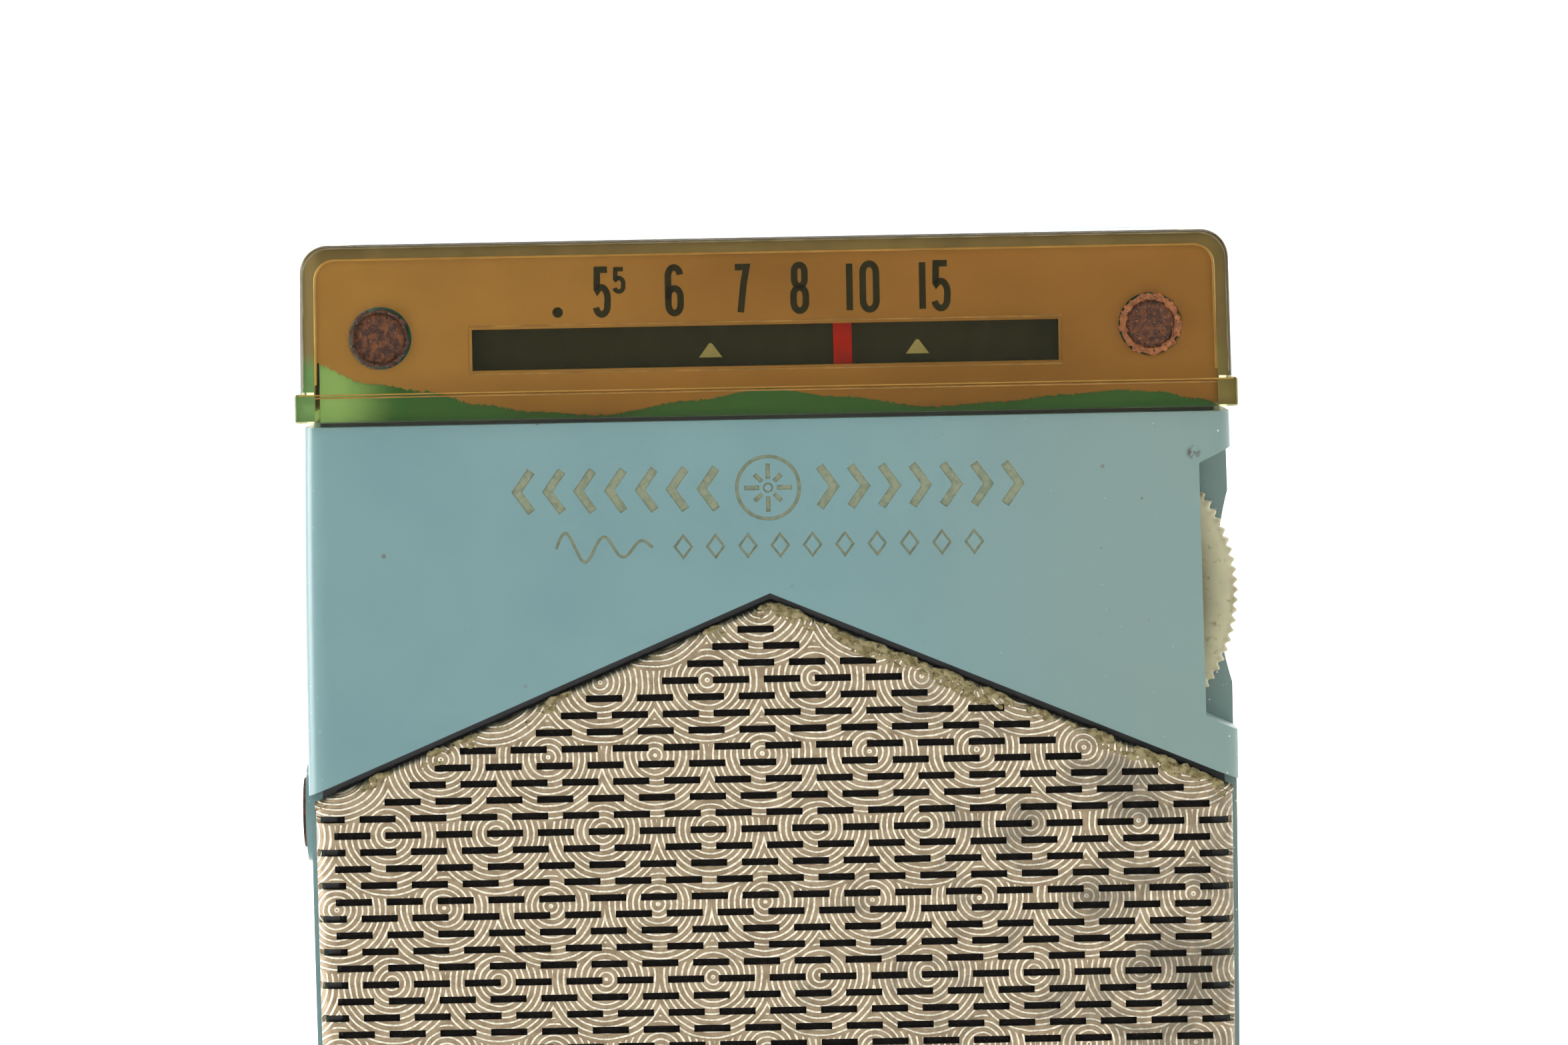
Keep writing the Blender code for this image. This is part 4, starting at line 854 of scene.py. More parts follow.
def plain_metal(name, light, dark, roughness=(0.25, 0.5), metallic=1.0, brushed=(1, 1, 1), tarnish=0.35):
    s = Shade(name)
    cloud = s.step(s.noise(2.5, 4, stretch=brushed), 0.3, 0.72)
    base = s.blend(cloud, light, dark)
    spots = s.step(s.noise(0.6, 4, shift=9), 0.60, 0.74)
    base = s.blend(s.times(spots, tarnish), base, tuple(c * 0.35 for c in dark))
    s.bump(s.noise(0.3, 4, stretch=brushed), 0.008)
    return s.set(base, s.between(cloud, *roughness), Metallic=metallic)


def moulded(name, light, dark, roughness=(0.35, 0.55), grain=0.4, depth=0.01):
    s = Shade(name)
    cloud = s.step(s.noise(3, 4), 0.3, 0.7)
    base = s.blend(cloud, light, dark)
    base = s.blend(s.step(s.noise(0.3, 2, shift=7), 0.70, 0.80), base,
                   tuple(min(1, c * 1.8 + 0.04) for c in dark))
    s.bump(s.noise(grain, 4), depth)
    return s.set(base, s.between(cloud, *roughness))


def banded(name, light, dark, axis, pitch, depth, roughness=0.6, metallic=0.0):
    """Windings, laminations or cord: bands across an axis."""
    s = Shade(name)
    along = {"X": s.x, "Y": s.y, "Z": s.z}[axis]
    jitter = s.times(s.noise(0.8, 2), pitch * 0.6)
    wave = s.between(s.math("SINE", s.times(s.plus(along, jitter), 2 * math.pi / pitch)), 0.5, 1.0)
    base = s.blend(wave, dark, light)
    base = s.blend(s.times(s.step(s.noise(1.6, 4, shift=3), 0.45, 0.7), 0.4), base, dark)
    s.bump(wave, depth)
    return s.set(base, roughness, Metallic=metallic)


def board_laminate():
    s = Shade("phenolic_board")
    fibre = s.noise(0.9, 5, stretch=(1, 1, 0.15))
    base = s.blend(s.step(fibre, 0.3, 0.7), (0.34, 0.155, 0.050), (0.23, 0.095, 0.028))
    base = s.blend(s.step(s.noise(0.2, 2, shift=5), 0.68, 0.76), base, (0.10, 0.04, 0.015))
    s.bump(fibre, 0.02)
    return s.set(base, s.between(fibre, 0.42, 0.6))


def stage_white():
    s = Shade("white_studio_paper")
    base = s.blend(s.noise(400, 2), (0.93, 0.93, 0.93), (0.96, 0.96, 0.96))
    return s.set(base, 0.9)


def node_materials():
    """A procedural material for each CAD node that stays, by the record's material slot."""
    return {
        "rusty_steel": rust("rusty_jack"),
        "dial_black": dial_black(),
        "pointer_red": pointer_red(),
        "brass": plain_metal("worn_brass", (0.62, 0.43, 0.17), (0.42, 0.27, 0.09)),
        "steel": plain_metal("zinc_steel", (0.60, 0.60, 0.58), (0.42, 0.42, 0.40)),
        "aluminium": plain_metal("dull_aluminium", (0.72, 0.72, 0.71), (0.55, 0.55, 0.53), (0.32, 0.52)),
        "cord_fabric": banded("woven_dial_cord", (0.34, 0.26, 0.15), (0.12, 0.09, 0.05), "X", 0.4, 0.05,
                              0.9),
        "nylon": moulded("ivory_nylon", (0.72, 0.68, 0.56), (0.60, 0.56, 0.44)),
        "board_laminate": board_laminate(),
        "ferrite": moulded("ferrite_grey", (0.055, 0.054, 0.052), (0.030, 0.030, 0.030), (0.45, 0.65), 0.2,
                           0.03),
        "coil_litz": banded("litz_winding", (0.50, 0.24, 0.07), (0.20, 0.08, 0.02), "X", 0.45, 0.12, 0.5),
        "speaker_paper": moulded("cone_paper", (0.050, 0.044, 0.038), (0.026, 0.023, 0.020), (0.85, 0.97),
                                 0.35, 0.05),
        "magnet_steel": plain_metal("plated_magnet", (0.46, 0.44, 0.36), (0.30, 0.28, 0.20), (0.35, 0.6)),
        "transformer_iron": banded("core_laminations", (0.16, 0.15, 0.14), (0.05, 0.045, 0.04), "Y", 0.5,
                                   0.06, 0.55, 0.5),
        "capacitor_sleeve": moulded("sleeve_brown", (0.36, 0.10, 0.04), (0.24, 0.06, 0.025), (0.3, 0.45)),
        "transistor_can": plain_metal("lacquered_can", (0.10, 0.10, 0.12), (0.05, 0.05, 0.06), (0.25, 0.42),
                                      0.6),
        "battery_jacket": battery_case(),
        "black_plastic": moulded("black_moulding", (0.030, 0.030, 0.030), (0.016, 0.016, 0.016)),
    }


# ---------------------------------------------------------------- the front moulding
ORNAMENT_DEPTH = 0.22 * MM
ORNAMENT_HIGH_Z = 120.7 * MM
ORNAMENT_LOW_Z = 115.8 * MM


def ornament(front_y, back_y, name):
    """A band of chevrons each side of a sunburst, over a wave and a row of lozenges."""
    bm = bmesh.new()
    half = 1.75 * MM
    for side in (-1, 1):
        for index in range(7):
            x = side * (4.4 + 2.62 * index) * MM
            tip = x + side * 1.25 * MM
            points = [(x, ORNAMENT_HIGH_Z + half), (tip, ORNAMENT_HIGH_Z), (x, ORNAMENT_HIGH_Z - half)]
            stroke(bm, points, 0.74 * MM, front_y, back_y)
    stroke(bm, circle((0, ORNAMENT_HIGH_Z), 2.66 * MM, 56), 0.30 * MM, front_y, back_y, closed=True)
    for ray in range(8):
        angle = math.pi * ray / 4
        outer = 2.05 if ray % 2 == 0 else 1.6
        along = Vector((math.cos(angle), math.sin(angle)))
        start = Vector((0, ORNAMENT_HIGH_Z)) + along * 0.75 * MM
        stop = Vector((0, ORNAMENT_HIGH_Z)) + along * outer * MM
        stroke(bm, [start, stop], 0.40 * MM, front_y, back_y)
    stroke(bm, circle((0, ORNAMENT_HIGH_Z), 0.36 * MM, 16), 0.16 * MM, front_y, back_y, closed=True)
    wave = []
    for step in range(49):
        share = step / 48
        height = 1.25 * math.sin(share * 5 * math.pi) * (1.15 - 0.75 * share)
        wave.append(((-18.1 + 8.2 * share) * MM, ORNAMENT_LOW_Z + height * MM))
    stroke(bm, wave, 0.26 * MM, front_y, back_y)
    for index in range(10):
        x = (-7.3 + 2.75 * index) * MM
        lozenge = [(x - 0.72 * MM, ORNAMENT_LOW_Z), (x, ORNAMENT_LOW_Z - 0.95 * MM),
                   (x + 0.72 * MM, ORNAMENT_LOW_Z), (x, ORNAMENT_LOW_Z + 0.95 * MM)]
        stroke(bm, lozenge, 0.21 * MM, front_y, back_y, closed=True)
    return object_from(bm, name)


def finger_scoop():
    """Shallow hollow in the case's side, behind the tuning thumbwheel."""
    centre = (half_width(TUNING_Z) + SCOOP_RADIUS - SCOOP_DEPTH, 0, TUNING_Z + 0.5 * MM)
    return cylinder("scoop", centre, "Y", SCOOP_RADIUS, NOTCH_BACK_Y - 0.5 * MM, SCOOP_BACK_Y, 256)


def front_shell(plastic):
    shell = plate("front_moulding", [case_outline(0, 0, SHELL_TRIM_Z, BASE_CORNER, 1 * MM)],
                  PANEL_FRONT_Y, SHELL_BACK_Y)
    round_rim(shell, PANEL_FRONT_Y, EDGE_ROUND, 10)
    cut(shell, box("above_panel", (-FAR, -0.030, PANEL_TOP_Z), (FAR, 0.010, 0.160)))
    head = [(HEAD_HALF_WIDTH, 120 * MM)]
    head += arc(HEAD_HALF_WIDTH - 1.4 * MM, HEAD_TOP_Z - 1.4 * MM, 1.4 * MM, 0, 90, 8)
    join(shell, plate("head", [mirrored(head)], HEAD_FRONT_Y, SHELL_BACK_Y))
    inner = case_outline(SHELL_INSET, SHELL_INSET, SHELL_TRIM_Z, BASE_CORNER - SHELL_INSET, 1 * MM)
    last_z = chevron_z(half_width(WIDEST_Z) - SHELL_INSET)
    right = [(x, z) for x, z in inner if x > 0 and z < last_z]
    right.append((half_width(last_z) - SHELL_INSET, last_z))
    band = [(-FAR, -0.010), (FAR, -0.010), (FAR, chevron_z(FAR))]
    band += list(reversed(right)) + [(-x, z) for x, z in right] + [(-FAR, chevron_z(FAR))]
    cut(shell, plate("lower_front", [below_chevron(0)], AHEAD_Y, LOWER_FRONT_Y),
        plate("grille_sides", [band], AHEAD_Y, -13.2 * MM))
    hollow_shell(shell)
    rim = [case_outline(COVER_WALL + GAP, COVER_WALL + GAP, 139.8 * MM, 2.8 * MM, 2.0 * MM),
           case_outline(CAVITY_INSET, CAVITY_INSET, 139.3 * MM, 2.3 * MM, 1.5 * MM)]
    join(shell, plate("rim", rim, SHELL_BACK_Y - 0.8 * MM, TONGUE_BACK_Y))
    open_shell(shell)
    shell_posts(shell)
    cut(shell, ornament(PANEL_FRONT_Y - 1 * MM, PANEL_FRONT_Y + ORNAMENT_DEPTH, "ornament_cutter"))
    return piece(shell, "case", plastic, ("front_shell",), 30, weighted=True)


def hollow_shell(shell):
    main = case_outline(CAVITY_INSET, CAVITY_INSET, 124.7 * MM, BASE_CORNER - 1.5 * MM, 1 * MM)
    head_x = HEAD_HALF_WIDTH - HEAD_WALL
    panel_low = PANEL_WALL / math.cos(math.atan(CHEVRON_SLOPE))
    side_x = 36.9 * MM
    panel = [(-side_x, chevron_z(side_x, panel_low)), (0, chevron_z(0, panel_low)),
             (side_x, chevron_z(side_x, panel_low)), (side_x, 124.3 * MM), (-side_x, 124.3 * MM)]
    wheel_room = circle((TUNING_X, TUNING_Z), (wheel_high.z - wheel_low.z) / 2 + 0.6 * MM, 64)
    cut(shell, plate("cavity", [main], LOWER_BACK_Y, 0.010),
        plate("panel_cavity", [panel], PANEL_FRONT_Y + PANEL_WALL, 0.009),
        plate("head_cavity", [rectangle(-head_x, 124 * MM, head_x, HEAD_TOP_Z - HEAD_WALL)], -15.05 * MM,
              0.008),
        plate("wheel_room", [wheel_room], LOWER_BACK_Y - 0.2 * MM, NOTCH_BACK_Y))


def open_shell(shell):
    edge = 45 * MM
    notch = [(half_width(NOTCH_LOW_Z) - NOTCH_DEPTH, NOTCH_LOW_Z + NOTCH_RUNOUT),
             (half_width(NOTCH_LOW_Z) + 0.4 * MM, NOTCH_LOW_Z), (edge, NOTCH_LOW_Z), (edge, NOTCH_HIGH_Z),
             (half_width(NOTCH_HIGH_Z) + 0.4 * MM, NOTCH_HIGH_Z),
             (half_width(NOTCH_HIGH_Z) - NOTCH_DEPTH, NOTCH_HIGH_Z - NOTCH_RUNOUT)]
    cut(shell, plate("notch", [notch], AHEAD_Y, NOTCH_BACK_Y), finger_scoop(),
        cylinder("speaker_hole", (0, 0, SPEAKER_Z), "Y", SPEAKER_OPENING, AHEAD_Y, -0.012, 96),
        box("window", (-WINDOW_HALF_WIDTH, HEAD_CUT_FRONT_Y, WINDOW_Z - WINDOW_HEIGHT / 2),
            (WINDOW_HALF_WIDTH, HEAD_CUT_BACK_Y, WINDOW_Z + WINDOW_HEIGHT / 2)),
        box("volume_slot", (0.033, volume_low.y - 0.6 * MM, VOLUME_Z - 7.8 * MM),
            (0.045, volume_high.y + 0.6 * MM, VOLUME_Z + 7.8 * MM)))
    for side in (-1, 1):
        cut(shell, cylinder("rivet_hole", (side * RIVET_X, 0, RIVET_Z), "Y", 1.5 * MM, HEAD_CUT_FRONT_Y,
                            HEAD_CUT_BACK_Y, 24))


def shell_posts(shell):
    posts = [cylinder("post", (x * MM, 0, z * MM), "Y", POST_RADIUS, POST_FRONT_Y, board_low.y - GAP, 32)
             for x, z in BOARD_POSTS]
    join(shell, *posts,
         box("shelf", (-SHELF_HALF_WIDTH, LOWER_BACK_Y - 0.4 * MM, SHELF_Z),
             (SHELF_HALF_WIDTH, SHELF_BACK_Y, SHELF_Z + SHELF_THICKNESS)),
         box("web", (-0.0012, 0.0, SHELF_Z + 0.4 * MM), (0.0012, 0.0140, COVER_SCREW_Z)),
         cylinder("cover_post", (0, 0, COVER_SCREW_Z), "Y", COVER_POST_RADIUS, 0.0010, SHELF_BACK_Y, 32),
         cylinder("jack_boss", (0, JACK_Y, JACK_Z), "X", JACK_BOSS_RADIUS, -half_width(JACK_Z) - 0.5 * MM,
                  -0.0370, 48))
    holes = [cylinder("post_hole", (x * MM, 0, z * MM), "Y", POST_HOLE_RADIUS, -0.0060, 0.020, 20) for x,
             z in BOARD_POSTS]
    cut(shell, *holes,
        cylinder("cover_post_hole", (0, 0, COVER_SCREW_Z), "Y", 2.0 * MM, 0.0100, 0.020, 24),
        cylinder("jack_hole", (0, JACK_Y, JACK_Z), "X", 3.3 * MM, -0.0450, -0.0340, 40))


def rear_cover(plastic):
    cover = plate("rear_moulding", [case_outline(0, 0, CASE_HEIGHT, BASE_CORNER, 4 * MM)],
                  COVER_FRONT_Y, CASE_BACK_Y)
    round_rim(cover, CASE_BACK_Y, BACK_ROUND, 10)
    inner = case_outline(COVER_WALL, COVER_WALL, CASE_HEIGHT - COVER_WALL, BASE_CORNER - COVER_WALL,
                         2.5 * MM)
    cavity = plate("cover_cavity", [inner], -0.010, CASE_BACK_Y - COVER_WALL)
    round_rim(cavity, CASE_BACK_Y - COVER_WALL, 1.5 * MM, 5)
    cut(cover, cavity, finger_scoop(),
        cylinder("screw_hole", (0, 0, COVER_SCREW_Z), "Y", COVER_SCREW_HOLE_RADIUS, 0.010, 0.030, 24),
        cylinder("screw_sink", (0, 0, COVER_SCREW_Z), "Y", COVER_SINK_RADIUS, COVER_SINK_Y, 0.030, 48))
    return piece(cover, "cover", plastic, ("rear_cover",), 30, weighted=True)


# ---------------------------------------------------------------- the dial cap
PAINT_EDGE = ((-39.4, 5.3), (-33.5, 3.2), (-28.9, 2.5), (-24.4, 1.3), (-19.8, 0.6), (-14.2, 0.2),
              (-6.2, 1.3),
              (0.0, 2.2), (6.2, 1.4), (14.2, 0.4), (19.8, 0.7), (25.5, 1.2), (30.0, 1.5), (33.5, 1.3),
              (36.3, 0.7), (39.4, 0.1))


def paint_edge_height(x):
    """Where the paint has flaked to, above the cap's lower edge: slow humps and a ragged edge."""
    place = x / MM
    for (x0, z0), (x1, z1) in zip(PAINT_EDGE, PAINT_EDGE[1:]):
        if place <= x1:
            share = max(0.0, (place - x0) / (x1 - x0))
            share = share * share * (3 - 2 * share)
            humps = z0 + (z1 - z0) * share
            break
    else:
        humps = PAINT_EDGE[-1][1]
    ragged = 0.10 * noise.noise((place * 2.1, 0, 0)) + 0.16 * noise.noise((place * 5.3, 3, 0))
    ragged += 0.20 * noise.noise((place * 11.7, 6, 0))
    return max(0.05, humps + ragged) * MM


def clear_cap_piece():
    cap = plate("dial_cap_clear", [cap_outline(0, cap_low.z)], CAP_FRONT_Y, SHELL_BACK_Y)
    round_rim(cap, CAP_FRONT_Y, 0.8 * MM, 6)
    lip = box("lip", (cap_low.x, cap_low.y, cap_low.z),
              (cap_high.x, SHELL_BACK_Y + 0.1 * MM, cap_low.z + LIP_HEIGHT),
              0.25 * MM, 4)
    join(cap, lip)
    cut(cap, plate("cap_inside", [cap_outline(CAP_WALL, cap_low.z - 5 * MM)], CAP_INNER_Y, 0.010))
    for side in (-1, 1):
        cut(cap, cylinder("cap_hole", (side * RIVET_X, 0, RIVET_Z), "Y", RIVET_RADIUS + GAP, AHEAD_Y,
                          -0.010, 48))
    return piece(cap, "case", clear_cap(), ("dial_cap",), 30, weighted=True)


def painted_skin():
    """Gold paint inside the cap's face, with its ragged lower edge, and on the inner walls."""
    inset = CAP_WALL + 0.03 * MM
    top = cap_outline(inset, cap_low.z + 6 * MM, 16)
    steps = 900
    reach = cap_half_width(cap_low.z) - inset
    lower = []
    for step in range(steps + 1):
        x = -reach + 2 * reach * step / steps
        lower.append((x, cap_low.z + paint_edge_height(x)))
    outline = lower + top
    window = rectangle(-WINDOW_HALF_WIDTH, WINDOW_Z - WINDOW_HEIGHT / 2, WINDOW_HALF_WIDTH,
                       WINDOW_Z + WINDOW_HEIGHT / 2)
    holes = [circle((side * RIVET_X, RIVET_Z), RIVET_RADIUS + 0.25 * MM, 40) for side in (-1, 1)]
    front = CAP_INNER_Y + 0.05 * MM
    skin = plate("cap_gold_paint", [outline, window] + holes, front, front + 0.03 * MM)
    wall = cap_outline(inset, cap_low.z + 1.0 * MM, 16)
    rings = []
    for x, z in wall:
        rings.append([(x, front, z), (x, SHELL_BACK_Y - GAP, z),
                      (x * 0.9992, SHELL_BACK_Y - GAP, z - 0.00003), (x * 0.9992, front, z - 0.00003)])
    bm = bmesh.new()
    lofted(bm, rings)
    returns = object_from(bm, "cap_gold_returns")
    paint = gold_paint()
    piece(returns, "case", paint)
    return piece(skin, "case", paint)


def cap_line(name, outline, y, radius, material, closed=False):
    """A thin round line along an (x, z) outline, at one depth."""
    piece(tube(name, [(x, y, z) for x, z in outline], radius, 8, closed), "case", material)


def cap_edges():
    """The wall's olive edge seen through the face, and the painted highlight line where the paint turns."""
    outer = cap_outline(0.05 * MM, cap_low.z + LIP_HEIGHT + 0.1 * MM, 16)
    inner = cap_outline(CAP_WALL + 0.02 * MM, cap_low.z + LIP_HEIGHT + 0.1 * MM, 16)
    ring = outer + list(reversed(inner))
    edge = plate("cap_wall_tint", [ring], CAP_FRONT_Y + 0.75 * MM, CAP_FRONT_Y + 0.80 * MM)
    piece(edge, "case", cap_rim_tint())
    # painted highlight: a pale line just inside the cap's outer edge
    outline = cap_outline(0.32 * MM, cap_low.z + 3.0 * MM, 16)
    cap_line("cap_outer_highlight", outline, CAP_FRONT_Y + 0.42 * MM, 0.06 * MM, pale_highlight_line())
    # painted highlight: a bright line where the paint turns at the inner corner
    outline = cap_outline(CAP_WALL + 0.1 * MM, cap_low.z + 3.2 * MM, 16)
    cap_line("cap_paint_edge_highlight", outline, CAP_INNER_Y + 0.02 * MM, 0.11 * MM, gold_highlight_line())
    lip_top = cap_low.z + LIP_HEIGHT
    ends = []
    for side in (-1, 1):
        near = side * (cap_half_width(cap_low.z) - CAP_WALL - 0.05 * MM)
        far = side * (cap_high.x - 0.06 * MM)
        low_x, high_x = min(near, far), max(near, far)
        ends.append(plate("lip_end", [rectangle(low_x, cap_low.z + 0.12 * MM, high_x, lip_top - 0.1 * MM)],
                          CAP_FRONT_Y + 0.9 * MM, CAP_FRONT_Y + 0.95 * MM))
    piece(merged("cap_lip_end_tint", ends), "case", cap_rim_tint())
    wide = cap_high.x - 0.35 * MM
    for name, drop, y, radius, material in (
        ("cap_lip_highlight", 0.14 * MM, cap_low.y + 0.18 * MM, 0.055 * MM, gold_highlight_line()),
        ("cap_lip_shadow_line", 0.42 * MM, CAP_INNER_Y - 0.1 * MM, 0.07 * MM, frame_line()),
    ):
        cap_line(name, [(-wide, lip_top - drop), (wide, lip_top - drop)], y, radius, material)
    half = WINDOW_HEIGHT / 2 + 0.28 * MM
    wide = WINDOW_HALF_WIDTH + 0.28 * MM
    border = rectangle(-wide, WINDOW_Z - half, wide, WINDOW_Z + half)
    cap_line("cap_window_frame", border, CAP_INNER_Y + 0.04 * MM, 0.08 * MM, frame_line(), closed=True)


def digit_strokes():
    """Condensed digits as strokes in a cell 1 wide and 1 high: (points, closed)."""
    def bowl(cx, cz, rx, rz, start, end, steps=14):
        points = []
        for step in range(steps + 1):
            angle = math.radians(start + (end - start) * step / steps)
            points.append((cx + rx * math.cos(angle), cz + rz * math.sin(angle)))
        return points

    return {
        "0": [(bowl(0.5, 0.80, 0.5, 0.19, 0, 180) + bowl(0.5, 0.20, 0.5, 0.19, 180, 360), True)],
        "1": [([(0.5, 1.0), (0.5, 0.0)], False)],
        "5": [([(0.95, 0.97), (0.12, 0.97), (0.08, 0.56)] + bowl(0.46, 0.34, 0.5, 0.25, 130, -20)
               + bowl(0.46, 0.24, 0.5, 0.23, -20, -160), False)],
        "6": [(bowl(0.5, 0.36, 0.5, 0.18, 0, 180) + bowl(0.5, 0.20, 0.5, 0.19, 180, 360), True),
              (bowl(0.5, 0.80, 0.5, 0.19, 10, 180) + [(0.0, 0.30)], False)],
        "7": [([(0.0, 0.97), (0.95, 0.97), (0.68, 0.60), (0.42, 0.0)], False)],
        "8": [(bowl(0.5, 0.86, 0.42, 0.13, 0, 180) + bowl(0.5, 0.68, 0.42, 0.14, 180, 360), True),
              (bowl(0.5, 0.34, 0.5, 0.17, 0, 180) + bowl(0.5, 0.19, 0.5, 0.18, 180, 360), True)],
    }


DIGIT_HEIGHT = 4.3 * MM
DIGIT_Z = 137.6 * MM
# digits, left edge, width, height, foot above the row's foot (millimetres)
DIAL_NUMBERS = (("5", -14.6, 1.6, 4.3, 0.0), ("5", -12.9, 1.15, 2.2, 2.0), ("6", -8.45, 1.6, 4.3, 0.0),
                ("7", -2.75, 1.6, 4.3, 0.0), ("8", 2.2, 1.6, 4.3, 0.0), ("1", 6.75, 1.0, 4.3, 0.0),
                ("0", 8.1, 1.7, 4.3, 0.0), ("1", 12.95, 1.0, 4.3, 0.0), ("5", 14.2, 1.7, 4.3, 0.0))


def dial_numbers():
    bm = bmesh.new()
    shapes = digit_strokes()
    foot = DIGIT_Z - DIGIT_HEIGHT / 2
    front = CAP_INNER_Y + 0.01 * MM
    for digit, left, width, height, rise in DIAL_NUMBERS:
        weight = 0.56 if height > 3 else 0.38
        for points, closed in shapes[digit]:
            inset = weight / 2
            placed = [((left + inset + px * (width - 2 * inset)) * MM,
                       foot + (rise + inset * 0.6 + pz * (height - 1.2 * inset)) * MM) for px, pz in points]
            stroke(bm, placed, weight * MM, front, front + 0.03 * MM, closed)
    numbers = object_from(bm, "dial_numbers")
    dot = turned("dot", (-17.6 * MM, 0, 135.9 * MM),
                 [(0, front), (0.45 * MM, front), (0.45 * MM, front + 0.03 * MM),
                                                     (0, front + 0.03 * MM)], 24)
    return piece(merged("dial_scale_print", [numbers, dot]), "case", printed_black())


def dial_marks():
    marks = []
    front = plate_low.y - 0.02 * MM
    for x in (-4.7, 13.0):
        outline = [((x - 1.0) * MM, 131.75 * MM), ((x + 1.0) * MM, 131.75 * MM),
                   ((x + 0.12) * MM, 132.95 * MM),
                   ((x - 0.12) * MM, 132.95 * MM)]
        marks.append(plate("mark", [outline], front, front + 0.03 * MM))
    return piece(merged("dial_triangles", marks), "case", dial_cream())


def rivets():
    body = rust()
    crusts = {-1: rust("dark_rust_crust", (0.050, 0.024, 0.018), (0.15, 0.066, 0.036), (0.52, 0.34, 0.22)),
              1: rust("orange_rust_crust", (0.24, 0.080, 0.026), (0.44, 0.165, 0.055), (0.58, 0.27, 0.11))}
    for side, word in ((-1, "left"), (1, "right")):
        centre = (side * RIVET_X, 0, RIVET_Z)
        front = CAP_FRONT_Y + 0.30 * MM
        profile = [(0, front + 0.12 * MM), (1.2 * MM, front + 0.10 * MM), (1.6 * MM, front - 0.02 * MM),
                   (2.0 * MM, front), (2.3 * MM, front + 0.22 * MM), (2.38 * MM,
                           front + 0.55 * MM), (2.38 * MM, HEAD_FRONT_Y - GAP),
                   (1.2 * MM, HEAD_FRONT_Y - GAP), (1.2 * MM, -15.1 * MM), (0, -15.1 * MM)]
        dense = []
        for (r0, y0), (r1, y1) in zip(profile, profile[1:]):
            pieces = max(1, int(math.hypot(r1 - r0, y1 - y0) / (0.16 * MM)))
            for step in range(pieces):
                dense.append((r0 + (r1 - r0) * step / pieces, y0 + (y1 - y0) * step / pieces))
        dense.append(profile[-1])
        head = roughened(turned("rivet_" + word, centre, dense, 72), 0.5 * MM, 0.16 * MM, side * 4.0)
        piece(head, "case", body, ("cap_rivet_" + word,))
        ring = []
        sides = 160
        for step in range(sides):
            angle = 2 * math.pi * step / sides
            swell = 1 + 0.10 * noise.noise((3 * math.cos(angle) + side * 7, 3 * math.sin(angle), 0))
            swell += 0.12 * noise.noise((9 * math.cos(angle), 9 * math.sin(angle), side * 3))
            section = []
            for turn in range(8):
                lean = 2 * math.pi * turn / 8
                outward = max(0.0, math.cos(lean))
                wide = 0.14 if side < 0 else 0.30
                reach = (2.34 + wide * math.cos(lean) + 2.6 * outward * (swell - 1)) * MM
                section.append((centre[0] + reach * math.cos(angle),
                                CAP_FRONT_Y + 0.04 * MM + 0.20 * math.sin(lean) * MM,
                                centre[2] + reach * math.sin(angle)))
            ring.append(section)
        bm = bmesh.new()
        lofted(bm, ring, closed_along=True)
        crust = roughened(object_from(bm, "rivet_crust_" + word), 0.30 * MM, 0.16 * MM, side * 9.0)
        piece(crust, "case", crusts[side])


# ---------------------------------------------------------------- the grille
SLOT_LENGTH = 3.1 * MM
SLOT_HEIGHT = 0.60 * MM
SLOT_PITCH_X = 4.34 * MM
SLOT_PITCH_Z = 1.42 * MM
SLOT_ROW_Z = 108.6 * MM
SLOT_ROW_X = -1.3 * MM
GRILLE_EDGE_DROP = 1.35 * MM    # the sheet starts to roll back this far below the panel's edge


def slot_cutters(top_rise):
    """One thin box for each slot, as one mesh."""
    bm = bmesh.new()
    rows = int((SLOT_ROW_Z - 2 * MM) / SLOT_PITCH_Z)
    for row in range(-1, rows + 1):
        z = SLOT_ROW_Z - row * SLOT_PITCH_Z
        shift = SLOT_ROW_X + (SLOT_PITCH_X / 2 if row % 2 else 0.0)
        for column in range(-10, 11):
            x = shift + column * SLOT_PITCH_X
            reach = abs(x) + SLOT_LENGTH / 2
            if reach > half_width(z) + 1.0 * MM or z > chevron_z(reach, top_rise):
                continue
            low = Vector((x - SLOT_LENGTH / 2, -0.030, z - SLOT_HEIGHT / 2))
            high = Vector((x + SLOT_LENGTH / 2, grille_low.y + 1.2 * MM, z + SLOT_HEIGHT / 2))
            made = bmesh.ops.create_cube(bm, size=1.0)["verts"]
            bmesh.ops.scale(bm, vec=high - low, verts=made)
            bmesh.ops.translate(bm, vec=(low + high) / 2, verts=made)
    return object_from(bm, "slots")


def grille_sheet(metal):
    outer = case_outline(GRILLE_INSET, GRILLE_INSET, SHELL_TRIM_Z, BASE_CORNER - GRILLE_INSET, 1 * MM)
    sheet = plate("grille_sheet", [outer], grille_low.y, -13.5 * MM)
    round_rim(sheet, grille_low.y, GRILLE_ROUND, 7)
    inset = GRILLE_INSET + GRILLE_SHEET
    inner = case_outline(inset, inset, SHELL_TRIM_Z, BASE_CORNER - inset, 1 * MM)
    hollow = plate("grille_inside", [inner], grille_low.y + GRILLE_SHEET, 0.0)
    round_rim(hollow, grille_low.y + GRILLE_SHEET, GRILLE_ROUND - GRILLE_SHEET, 7)
    cut(sheet, hollow, plate("grille_top", [above_chevron(-GRILLE_EDGE_DROP)], AHEAD_Y, 0.0))
    cut(sheet, slot_cutters(-GRILLE_EDGE_DROP - 0.4 * MM))
    return piece(sheet, "case", metal, ("grille",), 30)


